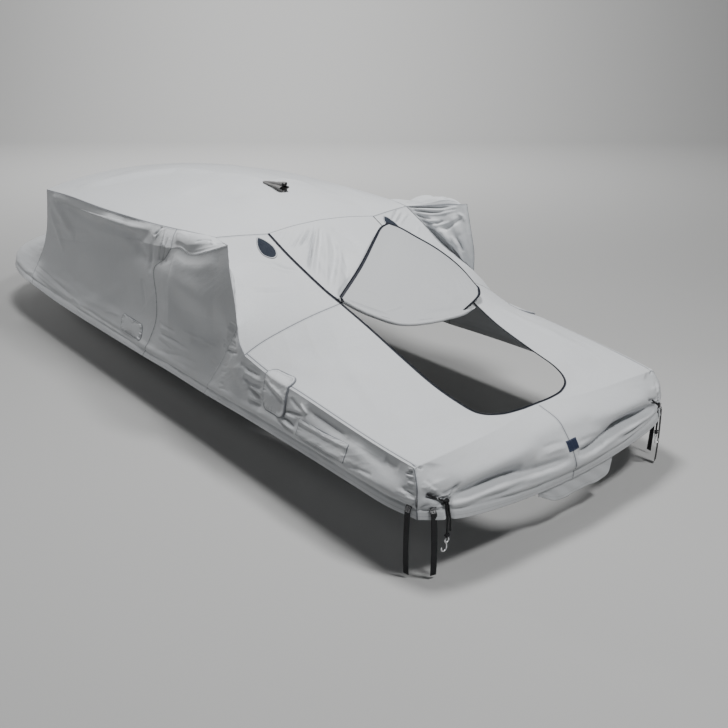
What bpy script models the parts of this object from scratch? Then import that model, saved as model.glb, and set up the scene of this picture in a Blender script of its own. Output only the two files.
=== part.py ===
"""Fitted mooring cover for a tow boat with a folding tower: sewn cloth panels in the shape in which
they hang from the tower top and the gunwale, with its zipped hatch folded back over the slope."""

import math

import bmesh
import bpy
from mathutils import Vector
from mathutils.bvhtree import BVHTree
from mathutils.kdtree import KDTree

# Driving sizes in metres. Boat axes: X to starboard, Y forward from the stern, Z up from the rub rail.
CLOTH = 0.0020  # doubled acrylic canvas at its seams
SEAM_GAP = 0.0004
SLACK = 0.003  # how far loose cloth wanders between its seams
ZIP_WIDTH = 0.016
RIM_ZIP_WIDTH = 0.012
HATCH_INSET = 0.018  # from the zip's line to the hatch panel's edge
BEND_RADIUS = 0.032  # of the hatch where it folds back over itself
WEBBING_WIDTH = 0.038
WEBBING_THICK = 0.0025
CORD_DIAMETER = 0.009
HOOK_WIRE = 0.006
UNDER_TOP = Vector((0.0, 3.90, 1.33))  # point under the roof where the boat's tower holds the cover

# Steps of each seam. Two panels that share a seam take their points from the same steps.
STEPS = {
    "front_wall": 18,
    "ear": 7,
    "lip": 4,
    "upright": 5,
    "leg_foot": 5,
    "notch": 2,
    "slope": 5,
    "hatch": 8,
    "deck": 14,
    "hatch_open_starboard": 2,
    "hatch_back": 8,
    "bend": 3,
}
STEPS["bow"] = STEPS["slope"] + STEPS["hatch"]

# Each seam of the port half. Columns: out from the centreline, forward of the stern, up from the rail.
SEAMS = {
    "roof_edge": (
        (1.170, 5.57, 1.150),
        (1.185, 4.93, 1.178),
        (1.180, 4.25, 1.175),
        (1.145, 3.73, 1.172),
        (1.105, 3.34, 1.170),
        (1.060, 3.06, 1.170),
    ),
    "ear_root": ((1.060, 3.06, 1.170), (1.015, 2.85, 1.170), (0.960, 2.64, 1.165)),
    "ear_lip": ((0.960, 2.64, 1.165), (1.065, 2.37, 1.200), (1.170, 2.10, 1.240)),
    "ear_gusset": ((1.150, 3.00, 1.045), (1.110, 3.03, 1.120), (1.060, 3.06, 1.170)),
    "ear_outside": (
        (1.150, 3.00, 1.045),
        (1.160, 2.84, 1.085),
        (1.175, 2.63, 1.075),
        (1.185, 2.36, 1.150),
        (1.170, 2.10, 1.240),
    ),
    "ear_back": (
        (1.190, 2.00, 0.670),
        (1.205, 1.99, 0.860),
        (1.200, 2.04, 1.060),
        (1.170, 2.10, 1.240),
    ),
    "ear_valley": ((0.960, 2.64, 1.165), (1.070, 2.33, 0.910), (1.190, 2.00, 0.670)),
    "leg_front": (
        (1.290, 3.42, 0.060),
        (1.255, 3.35, 0.200),
        (1.220, 3.25, 0.400),
        (1.205, 3.23, 0.600),
        (1.180, 3.28, 0.820),
        (1.155, 3.13, 0.930),
        (1.150, 3.00, 1.045),
    ),
    "leg_back": (
        (1.290, 2.38, 0.065),
        (1.255, 2.31, 0.200),
        (1.225, 2.20, 0.360),
        (1.215, 2.09, 0.520),
        (1.190, 2.00, 0.670),
    ),
    "notch": ((1.190, 2.00, 0.670), (1.230, 1.92, 0.590), (1.240, 1.84, 0.520)),
    "slope_head": ((0.960, 2.64, 1.165), (0.745, 2.61, 1.155), (0.535, 2.58, 1.140)),
    "hatch_head": ((0.535, 2.58, 1.140), (0.270, 2.60, 1.165), (0.000, 2.61, 1.175)),
    "hatch_side": (
        (0.535, 2.58, 1.140),
        (0.530, 2.30, 1.010),
        (0.530, 1.90, 0.862),
        (0.530, 1.67, 0.795),
    ),
    "slope_foot": (
        (1.240, 1.84, 0.520),
        (1.120, 1.82, 0.585),
        (0.960, 1.78, 0.655),
        (0.750, 1.72, 0.735),
        (0.530, 1.67, 0.795),
    ),
    "deck_edge": (
        (1.240, 1.84, 0.520),
        (1.222, 1.55, 0.452),
        (1.218, 1.21, 0.430),
        (1.210, 0.79, 0.388),
        (1.195, 0.43, 0.350),
        (1.170, 0.17, 0.320),
    ),
    "hatch_rim": (
        (0.530, 1.67, 0.795),
        (0.510, 1.36, 0.680),
        (0.495, 1.08, 0.570),
        (0.498, 0.76, 0.470),
        (0.485, 0.52, 0.410),
        (0.430, 0.38, 0.365),
        (0.300, 0.305, 0.348),
        (0.150, 0.275, 0.348),
        (0.000, 0.270, 0.350),
    ),
    "stern_roll": (
        (1.170, 0.17, 0.320),
        (0.900, 0.165, 0.335),
        (0.450, 0.185, 0.342),
        (0.180, 0.235, 0.346),
        (0.000, 0.270, 0.350),
    ),
    "corner": (
        (1.205, 0.095, 0.030),
        (1.205, 0.105, 0.120),
        (1.195, 0.115, 0.220),
        (1.170, 0.170, 0.320),
    ),
    "stern_centre": (
        (0.000, -0.060, -0.060),
        (0.000, -0.072, 0.060),
        (0.000, -0.035, 0.150),
        (0.000, 0.020, 0.225),
        (0.000, 0.100, 0.300),
        (0.000, 0.270, 0.350),
    ),
    "stern_hem": (
        (1.205, 0.095, 0.030),
        (1.070, 0.010, 0.020),
        (0.870, -0.030, -0.010),
        (0.500, -0.050, -0.045),
        (0.200, -0.058, -0.058),
        (0.000, -0.060, -0.060),
    ),
    "side_hem": (
        (1.290, 2.38, 0.065),
        (1.292, 1.80, 0.078),
        (1.292, 1.12, 0.080),
        (1.290, 0.60, 0.075),
        (1.275, 0.30, 0.060),
        (1.205, 0.095, 0.030),
    ),
    "leg_hem": ((1.290, 3.42, 0.060), (1.292, 2.90, 0.070), (1.290, 2.38, 0.065)),
    "front_hem": (
        (1.275, 6.12, 0.080),
        (1.290, 5.30, 0.060),
        (1.290, 4.30, 0.055),
        (1.290, 3.42, 0.060),
    ),
    "bow_corner": (
        (1.275, 6.12, 0.080),
        (1.215, 6.18, 0.190),
        (1.150, 6.16, 0.320),
        (1.140, 5.98, 0.500),
        (1.145, 5.80, 0.720),
        (1.160, 5.66, 0.950),
        (1.170, 5.57, 1.150),
    ),
    "bow_hem": (
        (1.275, 6.12, 0.080),
        (1.250, 6.55, 0.090),
        (1.165, 6.98, 0.105),
        (0.990, 7.28, 0.115),
        (0.700, 7.52, 0.120),
        (0.350, 7.68, 0.125),
        (0.000, 7.73, 0.125),
    ),
    "bow_centre": (
        (0.000, 7.73, 0.125),
        (0.000, 7.72, 0.240),
        (0.000, 7.60, 0.310),
        (0.000, 7.10, 0.370),
        (0.000, 6.55, 0.480),
        (0.000, 6.15, 0.740),
        (0.000, 5.92, 1.040),
        (0.000, 5.80, 1.255),
    ),
    "roof_front": (
        (1.170, 5.57, 1.150),
        (0.900, 5.66, 1.195),
        (0.450, 5.76, 1.240),
        (0.000, 5.80, 1.255),
    ),
    "roof_ridge": (
        (0.000, 5.80, 1.255),
        (0.000, 5.20, 1.315),
        (0.000, 4.40, 1.352),
        (0.000, 3.60, 1.352),
        (0.000, 3.00, 1.290),
        (0.000, 2.61, 1.175),
    ),
}

# How far a panel stands out (or, with a minus, is drawn in) between its seams.
BELLY = {
    "front_wall": -0.030,
    "leg_panel": 0.018,
    "ear_top": 0.055,
    "ear_back": 0.014,
    "slope_panel": -0.012,
    "skirt": 0.010,
}

# Main folds by panel: a soft ridge, or with a minus a trough. Columns: side (-1 port, 1 starboard,
# 0 both), start u and v, end u and v as shares of the panel, half width, height.
FOLDS = {
    "front_wall": (
        (-1, 0.03, 0.96, 0.30, 0.60, 0.07, 0.016),
        (-1, 0.03, 0.86, 0.22, 0.42, 0.06, 0.012),
        (0, 0.12, 0.93, 0.60, 0.91, 0.05, -0.028),
        (-1, 0.50, 0.12, 0.78, 0.34, 0.06, 0.010),
        (0, 0.68, 0.90, 0.93, 0.55, 0.06, -0.014),
        (1, 0.04, 0.92, 0.30, 0.52, 0.07, 0.013),
        (1, 0.36, 0.14, 0.66, 0.40, 0.06, 0.010),
    ),
    "leg_panel": (
        (-1, 0.20, 0.80, 0.75, 0.55, 0.16, 0.022),
        (-1, 0.95, 0.45, 0.55, 0.30, 0.06, -0.016),
        (1, 0.20, 0.75, 0.70, 0.50, 0.09, 0.010),
    ),
    "ear_top": ((0, 0.45, 0.50, 0.98, 0.45, 0.09, 0.030), (0, 0.12, 0.25, 0.80, 0.25, 0.035, -0.022)),
    "ear_back": ((0, 0.50, 0.40, 0.80, 0.85, 0.04, 0.022), (0, 0.35, 0.55, 0.30, 0.90, 0.04, 0.016)),
    "slope_panel": ((-1, 0.10, 0.60, 0.85, 0.72, 0.08, 0.010), (1, 0.20, 0.40, 0.80, 0.62, 0.08, 0.010)),
    "skirt": (
        (-1, 0.05, 0.70, 0.30, 0.30, 0.06, 0.010),
        (-1, 0.72, 0.80, 0.95, 0.40, 0.06, 0.010),
        (1, 0.30, 0.75, 0.60, 0.35, 0.06, 0.010),
        (1, 0.80, 0.80, 0.96, 0.45, 0.06, 0.010),
    ),
    "deck_panel": (
        (-1, 0.15, 0.88, 0.60, 0.55, 0.10, 0.008),
        (-1, 0.25, 0.25, 0.60, 0.75, 0.06, 0.012),
        (1, 0.20, 0.70, 0.60, 0.35, 0.10, 0.008),
        (1, 0.30, 0.30, 0.62, 0.78, 0.06, 0.012),
    ),
    "roof": (
        (0, 0.12, 0.86, 0.46, 0.93, 0.12, -0.014),
        (0, 0.30, 0.10, 0.55, 0.40, 0.16, 0.010),
    ),
    "bow_panel": ((0, 0.20, 0.75, 0.30, 0.35, 0.12, 0.020), (0, 0.80, 0.75, 0.70, 0.35, 0.12, 0.020)),
    "hatch_down": (
        (0, 0.30, 0.97, 0.05, 0.62, 0.035, 0.010),
        (0, 0.32, 0.97, 0.14, 0.40, 0.035, 0.011),
        (0, 0.34, 0.97, 0.26, 0.25, 0.040, 0.012),
        (0, 0.36, 0.97, 0.40, 0.20, 0.045, 0.012),
        (0, 0.40, 0.95, 0.62, 0.35, 0.050, 0.008),
    ),
}

# The hatch where it is folded back. Columns: starboard of the centreline, forward, up.
HATCH_FOLD = (
    (-0.512, 1.670, 0.795),
    (-0.440, 1.500, 0.735),
    (-0.290, 1.320, 0.672),
    (-0.080, 1.260, 0.648),
    (0.150, 1.250, 0.640),
    (0.320, 1.290, 0.648),
    (0.494, 1.385, 0.690),
)
HATCH_END = (
    (0.560, 2.415, 1.100),
    (0.640, 2.360, 1.062),
    (0.690, 2.240, 1.010),
    (0.780, 2.040, 0.915),
    (0.790, 1.790, 0.818),
    (0.670, 1.460, 0.735),
)
HATCH_PORT_EDGE = ((-0.150, 1.90, 0.955), (0.220, 2.18, 1.062), (0.400, 2.32, 1.100))
HATCH_STARBOARD_EDGE = ((0.610, 1.400, 0.720),)

# Pieces sewn on the cloth. Columns: middle forward, middle up, half length, half height, corner radius.
SIDE_PATCHES = {
    "cleat_patch": (3.700, 0.235, 0.215, 0.072, 0.045),
    "flap_pocket": (1.465, 0.318, 0.138, 0.104, 0.070),
    "chafe_patch": (0.920, 0.236, 0.252, 0.056, 0.008),
}
VENT = {"out": 0.637, "fore": 2.455, "half_long": 0.108, "half_wide": 0.066, "hood": 0.014, "rim": 0.82}
LABEL = {"across": 0.016, "up": 0.163, "half_long": 0.050, "half_wide": 0.031, "radius": 0.003}
SOCK = {
    "across": 0.04,
    "tip": 3.51,
    "mouth": 3.18,
    "tip_radius": 0.007,
    "mouth_radius": 0.036,
    "pleats": 7,
}
STRAP_TOP = 0.104
STRAP_END = -0.345
SIDE_STRAP_FORE = 0.152
STERN_STRAP_OUT = 1.128
TIE_OUT = {"port": 1.047, "starboard": 1.078}  # each cord's knot, from the centreline
TIE_TOP = 0.122
TIE_END = -0.085
# The strand that comes from under a fold. Columns: to starboard of the knot, up from it.
TIE_ARM = ((-0.096, 0.058), (-0.070, 0.039), (-0.045, 0.024), (-0.022, 0.012))
TAIL_ASIDE = 0.0125  # the cord's free end, from its other strand
TAIL_END = -0.062
KNOT = 0.012  # radius
CORD_GAP = 0.0008
EYE = 0.013  # radius of the hook's eye, to the middle of its wire
SHANK = 0.030
BOW = 0.019  # radius of the hook's bow
# The inner flap under the stern hem. Columns: starboard of the centreline, up of its lower edge.
TONGUE = (
    (-0.310, -0.085),
    (-0.170, -0.160),
    (-0.070, -0.180),
    (0.170, -0.182),
    (0.400, -0.180),
    (0.450, -0.085),
)
TONGUE_TOP = -0.030


def spline(rows, steps):
    """Even steps along a smooth curve through the rows."""
    points = [Vector(row) for row in rows]
    ends = [2 * points[0] - points[1]] + points + [2 * points[-1] - points[-2]]
    fine = []
    for before, start, end, after in zip(ends, ends[1:], ends[2:], ends[3:]):
        for part in range(24):
            t = part / 24
            fine.append(
                0.5
                * (
                    2 * start
                    + (end - before) * t
                    + (2 * before - 5 * start + 4 * end - after) * t * t
                    + (3 * start - before - 3 * end + after) * t**3
                )
            )
    fine.append(points[-1])
    return even(fine, steps)


def even(line, steps):
    """The line resampled to equal lengths."""
    run = [0.0]
    for first, second in zip(line, line[1:]):
        run.append(run[-1] + (second - first).length)
    result, at = [], 0
    for step in range(steps + 1):
        goal = run[-1] * step / steps
        while at < len(run) - 2 and run[at + 1] < goal:
            at += 1
        share = (goal - run[at]) / max(run[at + 1] - run[at], 1e-9)
        result.append(line[at].lerp(line[at + 1], min(max(share, 0.0), 1.0)))
    return result


def seam(name, side, steps, turned=False):
    """A named seam on the port (-1) or starboard (+1) half."""
    line = [Vector((side * p.x, p.y, p.z)) for p in spline(SEAMS[name], steps)]
    return line[::-1] if turned else line


def chain(*lines):
    """Lines that follow on, as one line."""
    joined = list(lines[0])
    for line in lines[1:]:
        joined += line[1:]
    return joined


def patch(bottom, top, left, right):
    """A Coons patch: rows of points from bottom to top, each running from left to right."""
    across, up = len(bottom) - 1, len(left) - 1
    rows = []
    for j in range(up + 1):
        v = j / up
        row = []
        for i in range(across + 1):
            u = i / across
            corners = (
                (1 - u) * (1 - v) * bottom[0]
                + u * (1 - v) * bottom[-1]
                + (1 - u) * v * top[0]
                + u * v * top[-1]
            )
            row.append(
                (1 - v) * bottom[i] + v * top[i] + (1 - u) * left[j] + u * right[j] - corners
            )
        rows.append(row)
    return rows


def with_spine(rows, spine):
    """The patch drawn up to a line down its middle, fading to nothing at its sides."""
    middle = (len(rows[0]) - 1) // 2
    crowned = []
    for row, point in zip(rows, spine):
        rise = point - row[middle]
        crowned.append([p + (1 - (i / middle - 1) ** 2) * rise for i, p in enumerate(row)])
    return crowned


def grid_normals(rows):
    """Outward directions at the points of a patch."""
    result = []
    for j, row in enumerate(rows):
        below, above = rows[max(j - 1, 0)], rows[min(j + 1, len(rows) - 1)]
        line = []
        for i in range(len(row)):
            across = row[min(i + 1, len(row) - 1)] - row[max(i - 1, 0)]
            line.append(across.cross(above[i] - below[i]).normalized())
        result.append(line)
    return result


def place(rows, u, v):
    """The point of a patch at shares u across and v up."""
    across, up = u * (len(rows[0]) - 1), v * (len(rows) - 1)
    i, j = min(int(across), len(rows[0]) - 2), min(int(up), len(rows) - 2)
    lower = rows[j][i].lerp(rows[j][i + 1], across - i)
    upper = rows[j + 1][i].lerp(rows[j + 1][i + 1], across - i)
    return lower.lerp(upper, up - j)


def fold_height(point, start, end, width, height):
    """Height of a soft ridge or trough that runs from start to end and dies away at both."""
    line = end - start
    share = min(max((point - start).dot(line) / line.length_squared, 0.0), 1.0)
    off = (point - start - share * line).length
    return height * (1 - (2 * share - 1) ** 4) * math.exp(-((off / width) ** 2))


def unevenness(point):
    """Slack in the cloth that no seam holds, in metres."""
    x, y, z = point
    return SLACK * (
        math.sin(5.1 * y + 2.3 * x + 0.7)
        + 0.6 * math.sin(9.7 * z - 3.9 * y + 1.9)
        + 0.5 * math.sin(11.3 * x + 4.1 * z - 2.2 * y)
    )


def draped(rows, name, side):
    """The patch with its folds, its belly between the seams and its slack. Its sides stay put."""
    if side > 0:
        rows = [row[::-1] for row in rows]  # turned round, so that the starboard half faces out too
    up, across = len(rows) - 1, len(rows[0]) - 1
    normals = grid_normals(rows)
    folds = []
    for row in FOLDS.get(name, ()):
        for_side, u1, v1, u2, v2, width, height = row
        if for_side in (side, 0):
            flip = side > 0
            start = place(rows, 1 - u1 if flip else u1, v1)
            end = place(rows, 1 - u2 if flip else u2, v2)
            folds.append((start, end, width, height))
    result = [list(row) for row in rows]
    for j in range(1, up):
        for i in range(1, across):
            lift = BELLY.get(name, 0.0) * math.sin(math.pi * i / across) * math.sin(math.pi * j / up)
            lift += unevenness(rows[j][i]) + sum(fold_height(rows[j][i], *fold) for fold in folds)
            reach = 0.3 * min((rows[j][i] - rows[j][end]).length for end in (0, across))
            result[j][i] = rows[j][i] + min(max(lift, -reach), reach) * normals[j][i]
    return result


def half_panels(side):
    """The patches of each panel on the port (-1) or starboard (+1) half, by panel name."""
    n = STEPS
    leg, rise = n["leg_foot"] + n["upright"], n["leg_foot"] + n["upright"] + n["lip"]
    slope, ear, lip = n["slope"], n["ear"], n["lip"]
    side_hem = seam("side_hem", side, n["notch"] + n["deck"])
    leg_front = seam("leg_front", side, leg)
    leg_back = seam("leg_back", side, n["leg_foot"])
    ear_back = seam("ear_back", side, n["upright"])
    ear_lip = seam("ear_lip", side, lip, turned=True)
    ear_outside = seam("ear_outside", side, ear)
    gusset = seam("ear_gusset", side, lip)
    valley = seam("ear_valley", side, n["upright"], turned=True)
    tip = ear_back[0].lerp(ear_back[1].lerp(valley[1], 0.6), 0.10)  # trimmed where four panels meet
    notch = seam("notch", side, n["notch"])
    foot = seam("slope_foot", side, slope)
    roll = seam("stern_roll", side, slope)
    corner = seam("corner", side, n["leg_foot"])
    deck_edge = seam("deck_edge", side, n["deck"])
    sides = {
        "front_wall": [
            (
                seam("front_hem", side, n["front_wall"]),
                seam("roof_edge", side, n["front_wall"]),
                seam("bow_corner", side, rise),
                chain(leg_front, gusset),
            )
        ],
        "leg_panel": [(seam("leg_hem", side, ear), ear_outside, leg_front, chain(leg_back, ear_back))],
        "ear_top": [(ear_outside, seam("ear_root", side, ear), gusset, ear_lip)],
        "ear_back": [([tip] * (lip + 1), ear_lip, [tip] + ear_back[1:], [tip] + valley[1:])],
        "slope_panel": [
            (
                foot,
                seam("slope_head", side, slope),
                chain(notch[::-1], valley),
                seam("hatch_side", side, n["notch"] + n["upright"], turned=True),
            )
        ],
        "skirt": [(side_hem, chain(notch, deck_edge), leg_back, corner)],
        "deck_panel": [
            (roll, foot, deck_edge[::-1], seam("hatch_rim", side, n["deck"], turned=True)),
            (seam("stern_hem", side, slope), roll, corner, seam("stern_centre", side, n["leg_foot"])),
        ],
    }
    return {name: [draped(patch(*four), name, side) for four in fours] for name, fours in sides.items()}


def whole(name, steps):
    """A seam from its outer end on the port half, over the centreline, to the starboard half."""
    return chain(seam(name, -1, steps), seam(name, 1, steps, turned=True))


def middle_panels():
    """The patches of the panels that cross the centreline."""
    n = STEPS
    rise = n["leg_foot"] + n["upright"] + n["lip"]
    head = chain(
        seam("slope_head", -1, n["slope"]),
        whole("hatch_head", n["hatch"]),
        seam("slope_head", 1, n["slope"], turned=True),
    )
    edge = {
        side: chain(
            seam("ear_root", side, n["ear"], turned=True),
            seam("roof_edge", side, n["front_wall"], turned=True),
        )
        for side in (-1, 1)
    }
    front = whole("roof_front", n["bow"])
    ridge = seam("roof_ridge", 1, n["ear"] + n["front_wall"], turned=True)
    roof = with_spine(patch(head, front, edge[-1], edge[1]), ridge)
    hem = whole("bow_hem", n["bow"])
    bow = patch(hem[::-1], front[::-1], seam("bow_corner", 1, rise), seam("bow_corner", -1, rise))
    bow = with_spine(bow, seam("bow_centre", 1, rise))
    return {"roof": [draped(roof, "roof", 0)], "bow_panel": [draped(bow, "bow_panel", 0)]}


def starboard_zip_line():
    """The line of the closed zip on the starboard side of the hatch, from the roof down."""
    rim = seam("hatch_rim", 1, STEPS["deck"])
    down = seam("hatch_side", 1, STEPS["notch"] + STEPS["upright"])
    return chain(down, rim[: STEPS["hatch_open_starboard"] + 1])


def hatch_patches():
    """The hatch panel from the roof seam down to its fold, round the fold and back over itself."""
    n = STEPS
    inset = Vector((HATCH_INSET, 0, 0))
    head = whole("hatch_head", n["hatch"])
    head = [head[0] + inset] + head[1:-1] + [head[-1] - inset]
    fold = spline(HATCH_FOLD, 2 * n["hatch"])
    down_steps = n["notch"] + n["upright"]
    port = [point + inset for point in seam("hatch_side", -1, down_steps, turned=True)]
    zipped = starboard_zip_line()
    starboard = even([point - inset for point in zipped], down_steps)[::-1]
    fold[0], fold[-1] = port[0], starboard[0]
    port[-1], starboard[-1] = head[0], head[-1]
    down = draped(patch(fold, head, port, starboard), "hatch_down", 0)
    bend = [fold]
    for step in range(1, n["bend"] + 1):
        turn = math.pi * step / n["bend"]
        out = Vector((0, -math.sin(turn), 0)) * BEND_RADIUS
        up = Vector((0, 0.35, 1)).normalized() * BEND_RADIUS * (1 - math.cos(turn))
        bend.append([point + out + up for point in fold])
    end = spline(HATCH_END, 2 * n["hatch"])
    port = spline((bend[-1][0], *HATCH_PORT_EDGE, end[0]), n["hatch_back"])
    starboard = spline((bend[-1][-1], *HATCH_STARBOARD_EDGE, end[-1]), n["hatch_back"])
    back = patch(bend[-1], end, port, starboard)
    return [back[::-1], bend[::-1], down]


class SeamNormals:
    """The direction at any point of the panels, evened out over every panel that meets there."""

    def __init__(self, panels):
        self.found = []
        for patches in panels.values():
            facings = {}
            for rows in patches:
                for lower, upper in zip(rows, rows[1:]):
                    for a, b, c, d in zip(lower, lower[1:], upper[1:], upper):
                        facing = (c - a).cross(d - b)
                        for point in (a, b, c, d):
                            near = tuple(round(value, 4) for value in point)
                            facings[near] = facings.get(near, Vector()) + facing
            self.found += [(Vector(point), facing.normalized()) for point, facing in facings.items()]
        self.tree = KDTree(len(self.found))
        for index, (point, _) in enumerate(self.found):
            self.tree.insert(point, index)
        self.tree.balance()

    def at(self, point):
        meeting = [self.found[index][1] for _, index, _ in self.tree.find_range(point, 0.0004)]
        facing = sum(meeting, Vector())
        for _ in range(60 if len(meeting) > 1 else 0):  # turns towards the panel that it faces least
            facing = facing.normalized() + 0.08 * min(meeting, key=facing.dot)
        return facing.normalized() if meeting else None

    def crowded(self, point):
        """Whether three panels or more meet here."""
        return len(self.tree.find_range(point, 0.0004)) > 2


def drawn_in(vert):
    """How a point on a sheet's edge moves to leave half a seam gap there."""
    inward = []
    for edge in vert.link_edges:
        if edge.is_boundary:
            face = edge.link_faces[0]
            along = (edge.verts[1].co - edge.verts[0].co).normalized()
            into = face.calc_center_median() - edge.verts[0].co
            inward.append((into - into.dot(along) * along).normalized())
    if len(inward) != 2:
        return Vector()
    return SEAM_GAP * (inward[0] + inward[1]) / max(1 + inward[0].dot(inward[1]), 0.04)


def sheet_mesh(patches, thick, normals=None):
    """A closed sheet under its patches: their surface, its copy below, and a wall round the edge."""
    mesh = bmesh.new()
    for rows in patches:
        grid = [[mesh.verts.new(point) for point in row] for row in rows]
        for lower, upper in zip(grid, grid[1:]):
            for corners in zip(lower, lower[1:], upper[1:], upper):
                mesh.faces.new(corners)
    bmesh.ops.remove_doubles(mesh, verts=mesh.verts, dist=1e-5)
    bmesh.ops.triangulate(mesh, faces=mesh.faces, quad_method="SHORT_EDGE")  # so that both faces match
    mesh.normal_update()
    outside, faces = list(mesh.verts), list(mesh.faces)
    rim = [edge for edge in mesh.edges if edge.is_boundary]
    walls = []
    for edge in rim:
        loop = edge.link_loops[0]
        walls.append((loop.vert, loop.link_loop_next.vert))
    shift, inside = {}, {}
    for vert in outside:
        facing = normals and normals.at(vert.co) or vert.normal
        shift[vert] = drawn_in(vert) / max(facing.dot(vert.normal), 0.1)  # further at a sharp fold
        if normals and normals.crowded(vert.co):
            shift[vert] *= 1.6
        inside[vert] = mesh.verts.new(vert.co + shift[vert] - thick * facing)
    for vert in outside:
        vert.co += shift[vert]
    for face in faces:
        mesh.faces.new([inside[vert] for vert in reversed(face.verts)])
    for first, second in walls:
        mesh.faces.new((second, first, inside[first], inside[second]))
    return mesh


def drop(tree, start, direction):
    """Where a straight line from start meets the cloth, and which way the cloth faces there."""
    point, normal, _, _ = tree.ray_cast(start, direction)
    return point, normal


def rounded(half_long, half_wide, radius, steps=3):
    """A loop round a rectangle with round corners."""
    centres = [
        (half_long - radius, half_wide - radius),
        (radius - half_long, half_wide - radius),
        (radius - half_long, radius - half_wide),
        (half_long - radius, radius - half_wide),
    ]
    loop = []
    for quarter, (x, y) in enumerate(centres):
        for step in range(2 * steps + 1):
            turn = math.pi / 2 * (quarter + step / (2 * steps))
            loop.append((x + radius * math.cos(turn), y + radius * math.sin(turn)))
    return loop


def teardrop(half_long, half_wide, steps=24):
    """A loop with a point forward and a round end aft."""
    loop = []
    for step in range(steps):
        turn = 2 * math.pi * (step + 0.5) / steps
        wide = 1.12 * half_wide * math.sin(turn) * math.sin(turn / 2) ** 0.8
        loop.append((half_long * math.cos(turn), wide))
    return loop


def filled(loop, rings=2):
    """Rows of a flat shape from a loop: its middle, then rings that grow out to the loop."""
    mid_x, mid_y = sum(x for x, _ in loop) / len(loop), sum(y for _, y in loop) / len(loop)
    closed = loop + loop[:1]
    rows = []
    for ring in range(rings, -1, -1):
        share = ring / rings
        rows.append([(mid_x + (x - mid_x) * share, mid_y + (y - mid_y) * share) for x, y in closed])
    return rows


def material(name, color, roughness, metallic=0.0):
    """A plain Principled finish."""
    made = bpy.data.materials.new(name)
    made.use_nodes = True
    shader = made.node_tree.nodes["Principled BSDF"]
    shader.inputs["Base Color"].default_value = (*color, 1.0)
    shader.inputs["Roughness"].default_value = roughness
    shader.inputs["Metallic"].default_value = metallic
    return made


def cloth_tree(meshes):
    """All the panels as one thing to cast on and to keep clear of."""
    points, faces = [], []
    for mesh in meshes:
        mesh.verts.index_update()
        base = len(points)
        points += [vert.co.copy() for vert in mesh.verts]
        faces += [[base + vert.index for vert in face.verts] for face in mesh.faces]
    return BVHTree.FromPolygons(points, faces)


def lifted_clear(mesh, tree, direction, clear=SEAM_GAP):
    """The mesh moved along a direction until nothing of it is nearer than a gap to the tree."""
    step = direction.normalized() * 0.0002
    back = -direction.normalized() * clear
    for _ in range(120):
        bmesh.ops.translate(mesh, verts=mesh.verts, vec=back)
        touching = BVHTree.FromBMesh(mesh).overlap(tree)
        bmesh.ops.translate(mesh, verts=mesh.verts, vec=-back)
        if not touching:
            break
        bmesh.ops.translate(mesh, verts=mesh.verts, vec=step)
    return mesh


def sewn_on(tree, rows, origin, first, second, thick, hood=0.0):
    """A flat shape of rows (along first, along second) laid on the cloth and held just clear of it."""
    outward = first.cross(second)
    laid = []
    for ring, row in enumerate(rows):
        rise = hood * math.sin(math.pi / 2 * ring / max(len(rows) - 1, 1))
        line = []
        for along, across in row:
            start = origin + along * first + across * second + 0.6 * outward
            point, normal = drop(tree, start, -outward)
            line.append(point + (thick + rise) * normal)
        laid.append(line)
    return lifted_clear(sheet_mesh([laid], thick), tree, outward)


def side_frame(side, fore, up):
    """Origin and directions of a side of the cover, as seen from outside: aft on port, then up."""
    return Vector((side * 1.20, fore, up)), Vector((0, side, 0)), Vector((0, 0, 1))


def tube(path, radii, sides=8):
    """A round cord along a path, with its own radius at each point and closed ends."""
    mesh = bmesh.new()
    aside = (path[1] - path[0]).orthogonal().normalized()
    rings = []
    for index, (point, radius) in enumerate(zip(path, radii)):
        ahead = (path[min(index + 1, len(path) - 1)] - path[max(index - 1, 0)]).normalized()
        aside = (aside - aside.dot(ahead) * ahead).normalized()
        over = ahead.cross(aside)
        ring = []
        for side in range(sides):
            turn = 2 * math.pi * side / sides
            ring.append(mesh.verts.new(point + radius * (math.cos(turn) * aside + math.sin(turn) * over)))
        rings.append(ring)
    for lower, upper in zip(rings, rings[1:]):
        for index in range(sides):
            nearby = (index + 1) % sides
            mesh.faces.new((lower[index], lower[nearby], upper[nearby], upper[index]))
    mesh.faces.new(rings[0][::-1])
    mesh.faces.new(rings[-1])
    return mesh


def arc(centre, first, second, radius, start, stop, steps):
    """Points of an arc in the plane of two directions, with its turns in degrees."""
    turns = [math.radians(start + (stop - start) * step / steps) for step in range(steps + 1)]
    return [centre + radius * (math.cos(t) * first + math.sin(t) * second) for t in turns]


def zip_strip(line, toward, width, thick):
    """A zip tape beside a line of cloth edge."""
    near, far = SEAM_GAP, width
    rows = [[point + reach * way for point, way in zip(line, toward)] for reach in (near, far)]
    return sheet_mesh([rows], thick)


def add_object(name, mesh, finish, root):
    """A bmesh as a named object on the cover's frame."""
    data = bpy.data.meshes.new(name)
    mesh.to_mesh(data)
    mesh.free()
    data.shade_smooth()
    data.materials.append(finish)
    made = bpy.data.objects.new(name, data)
    made.parent = root
    bpy.context.collection.objects.link(made)
    return made


def add_cord(name, path, radii, finish, root):
    """A free cord as a curve, thicker where it is knotted."""
    data = bpy.data.curves.new(name, "CURVE")
    data.dimensions = "3D"
    data.bevel_depth = CORD_DIAMETER / 2
    data.bevel_resolution = 2
    data.use_fill_caps = True
    line = data.splines.new("POLY")
    line.points.add(len(path) - 1)
    for spot, point, radius in zip(line.points, path, radii):
        spot.co = (*point, 1.0)
        spot.radius = 2 * radius / CORD_DIAMETER
    data.materials.append(finish)
    made = bpy.data.objects.new(name, data)
    made.parent = root
    bpy.context.collection.objects.link(made)


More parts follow.
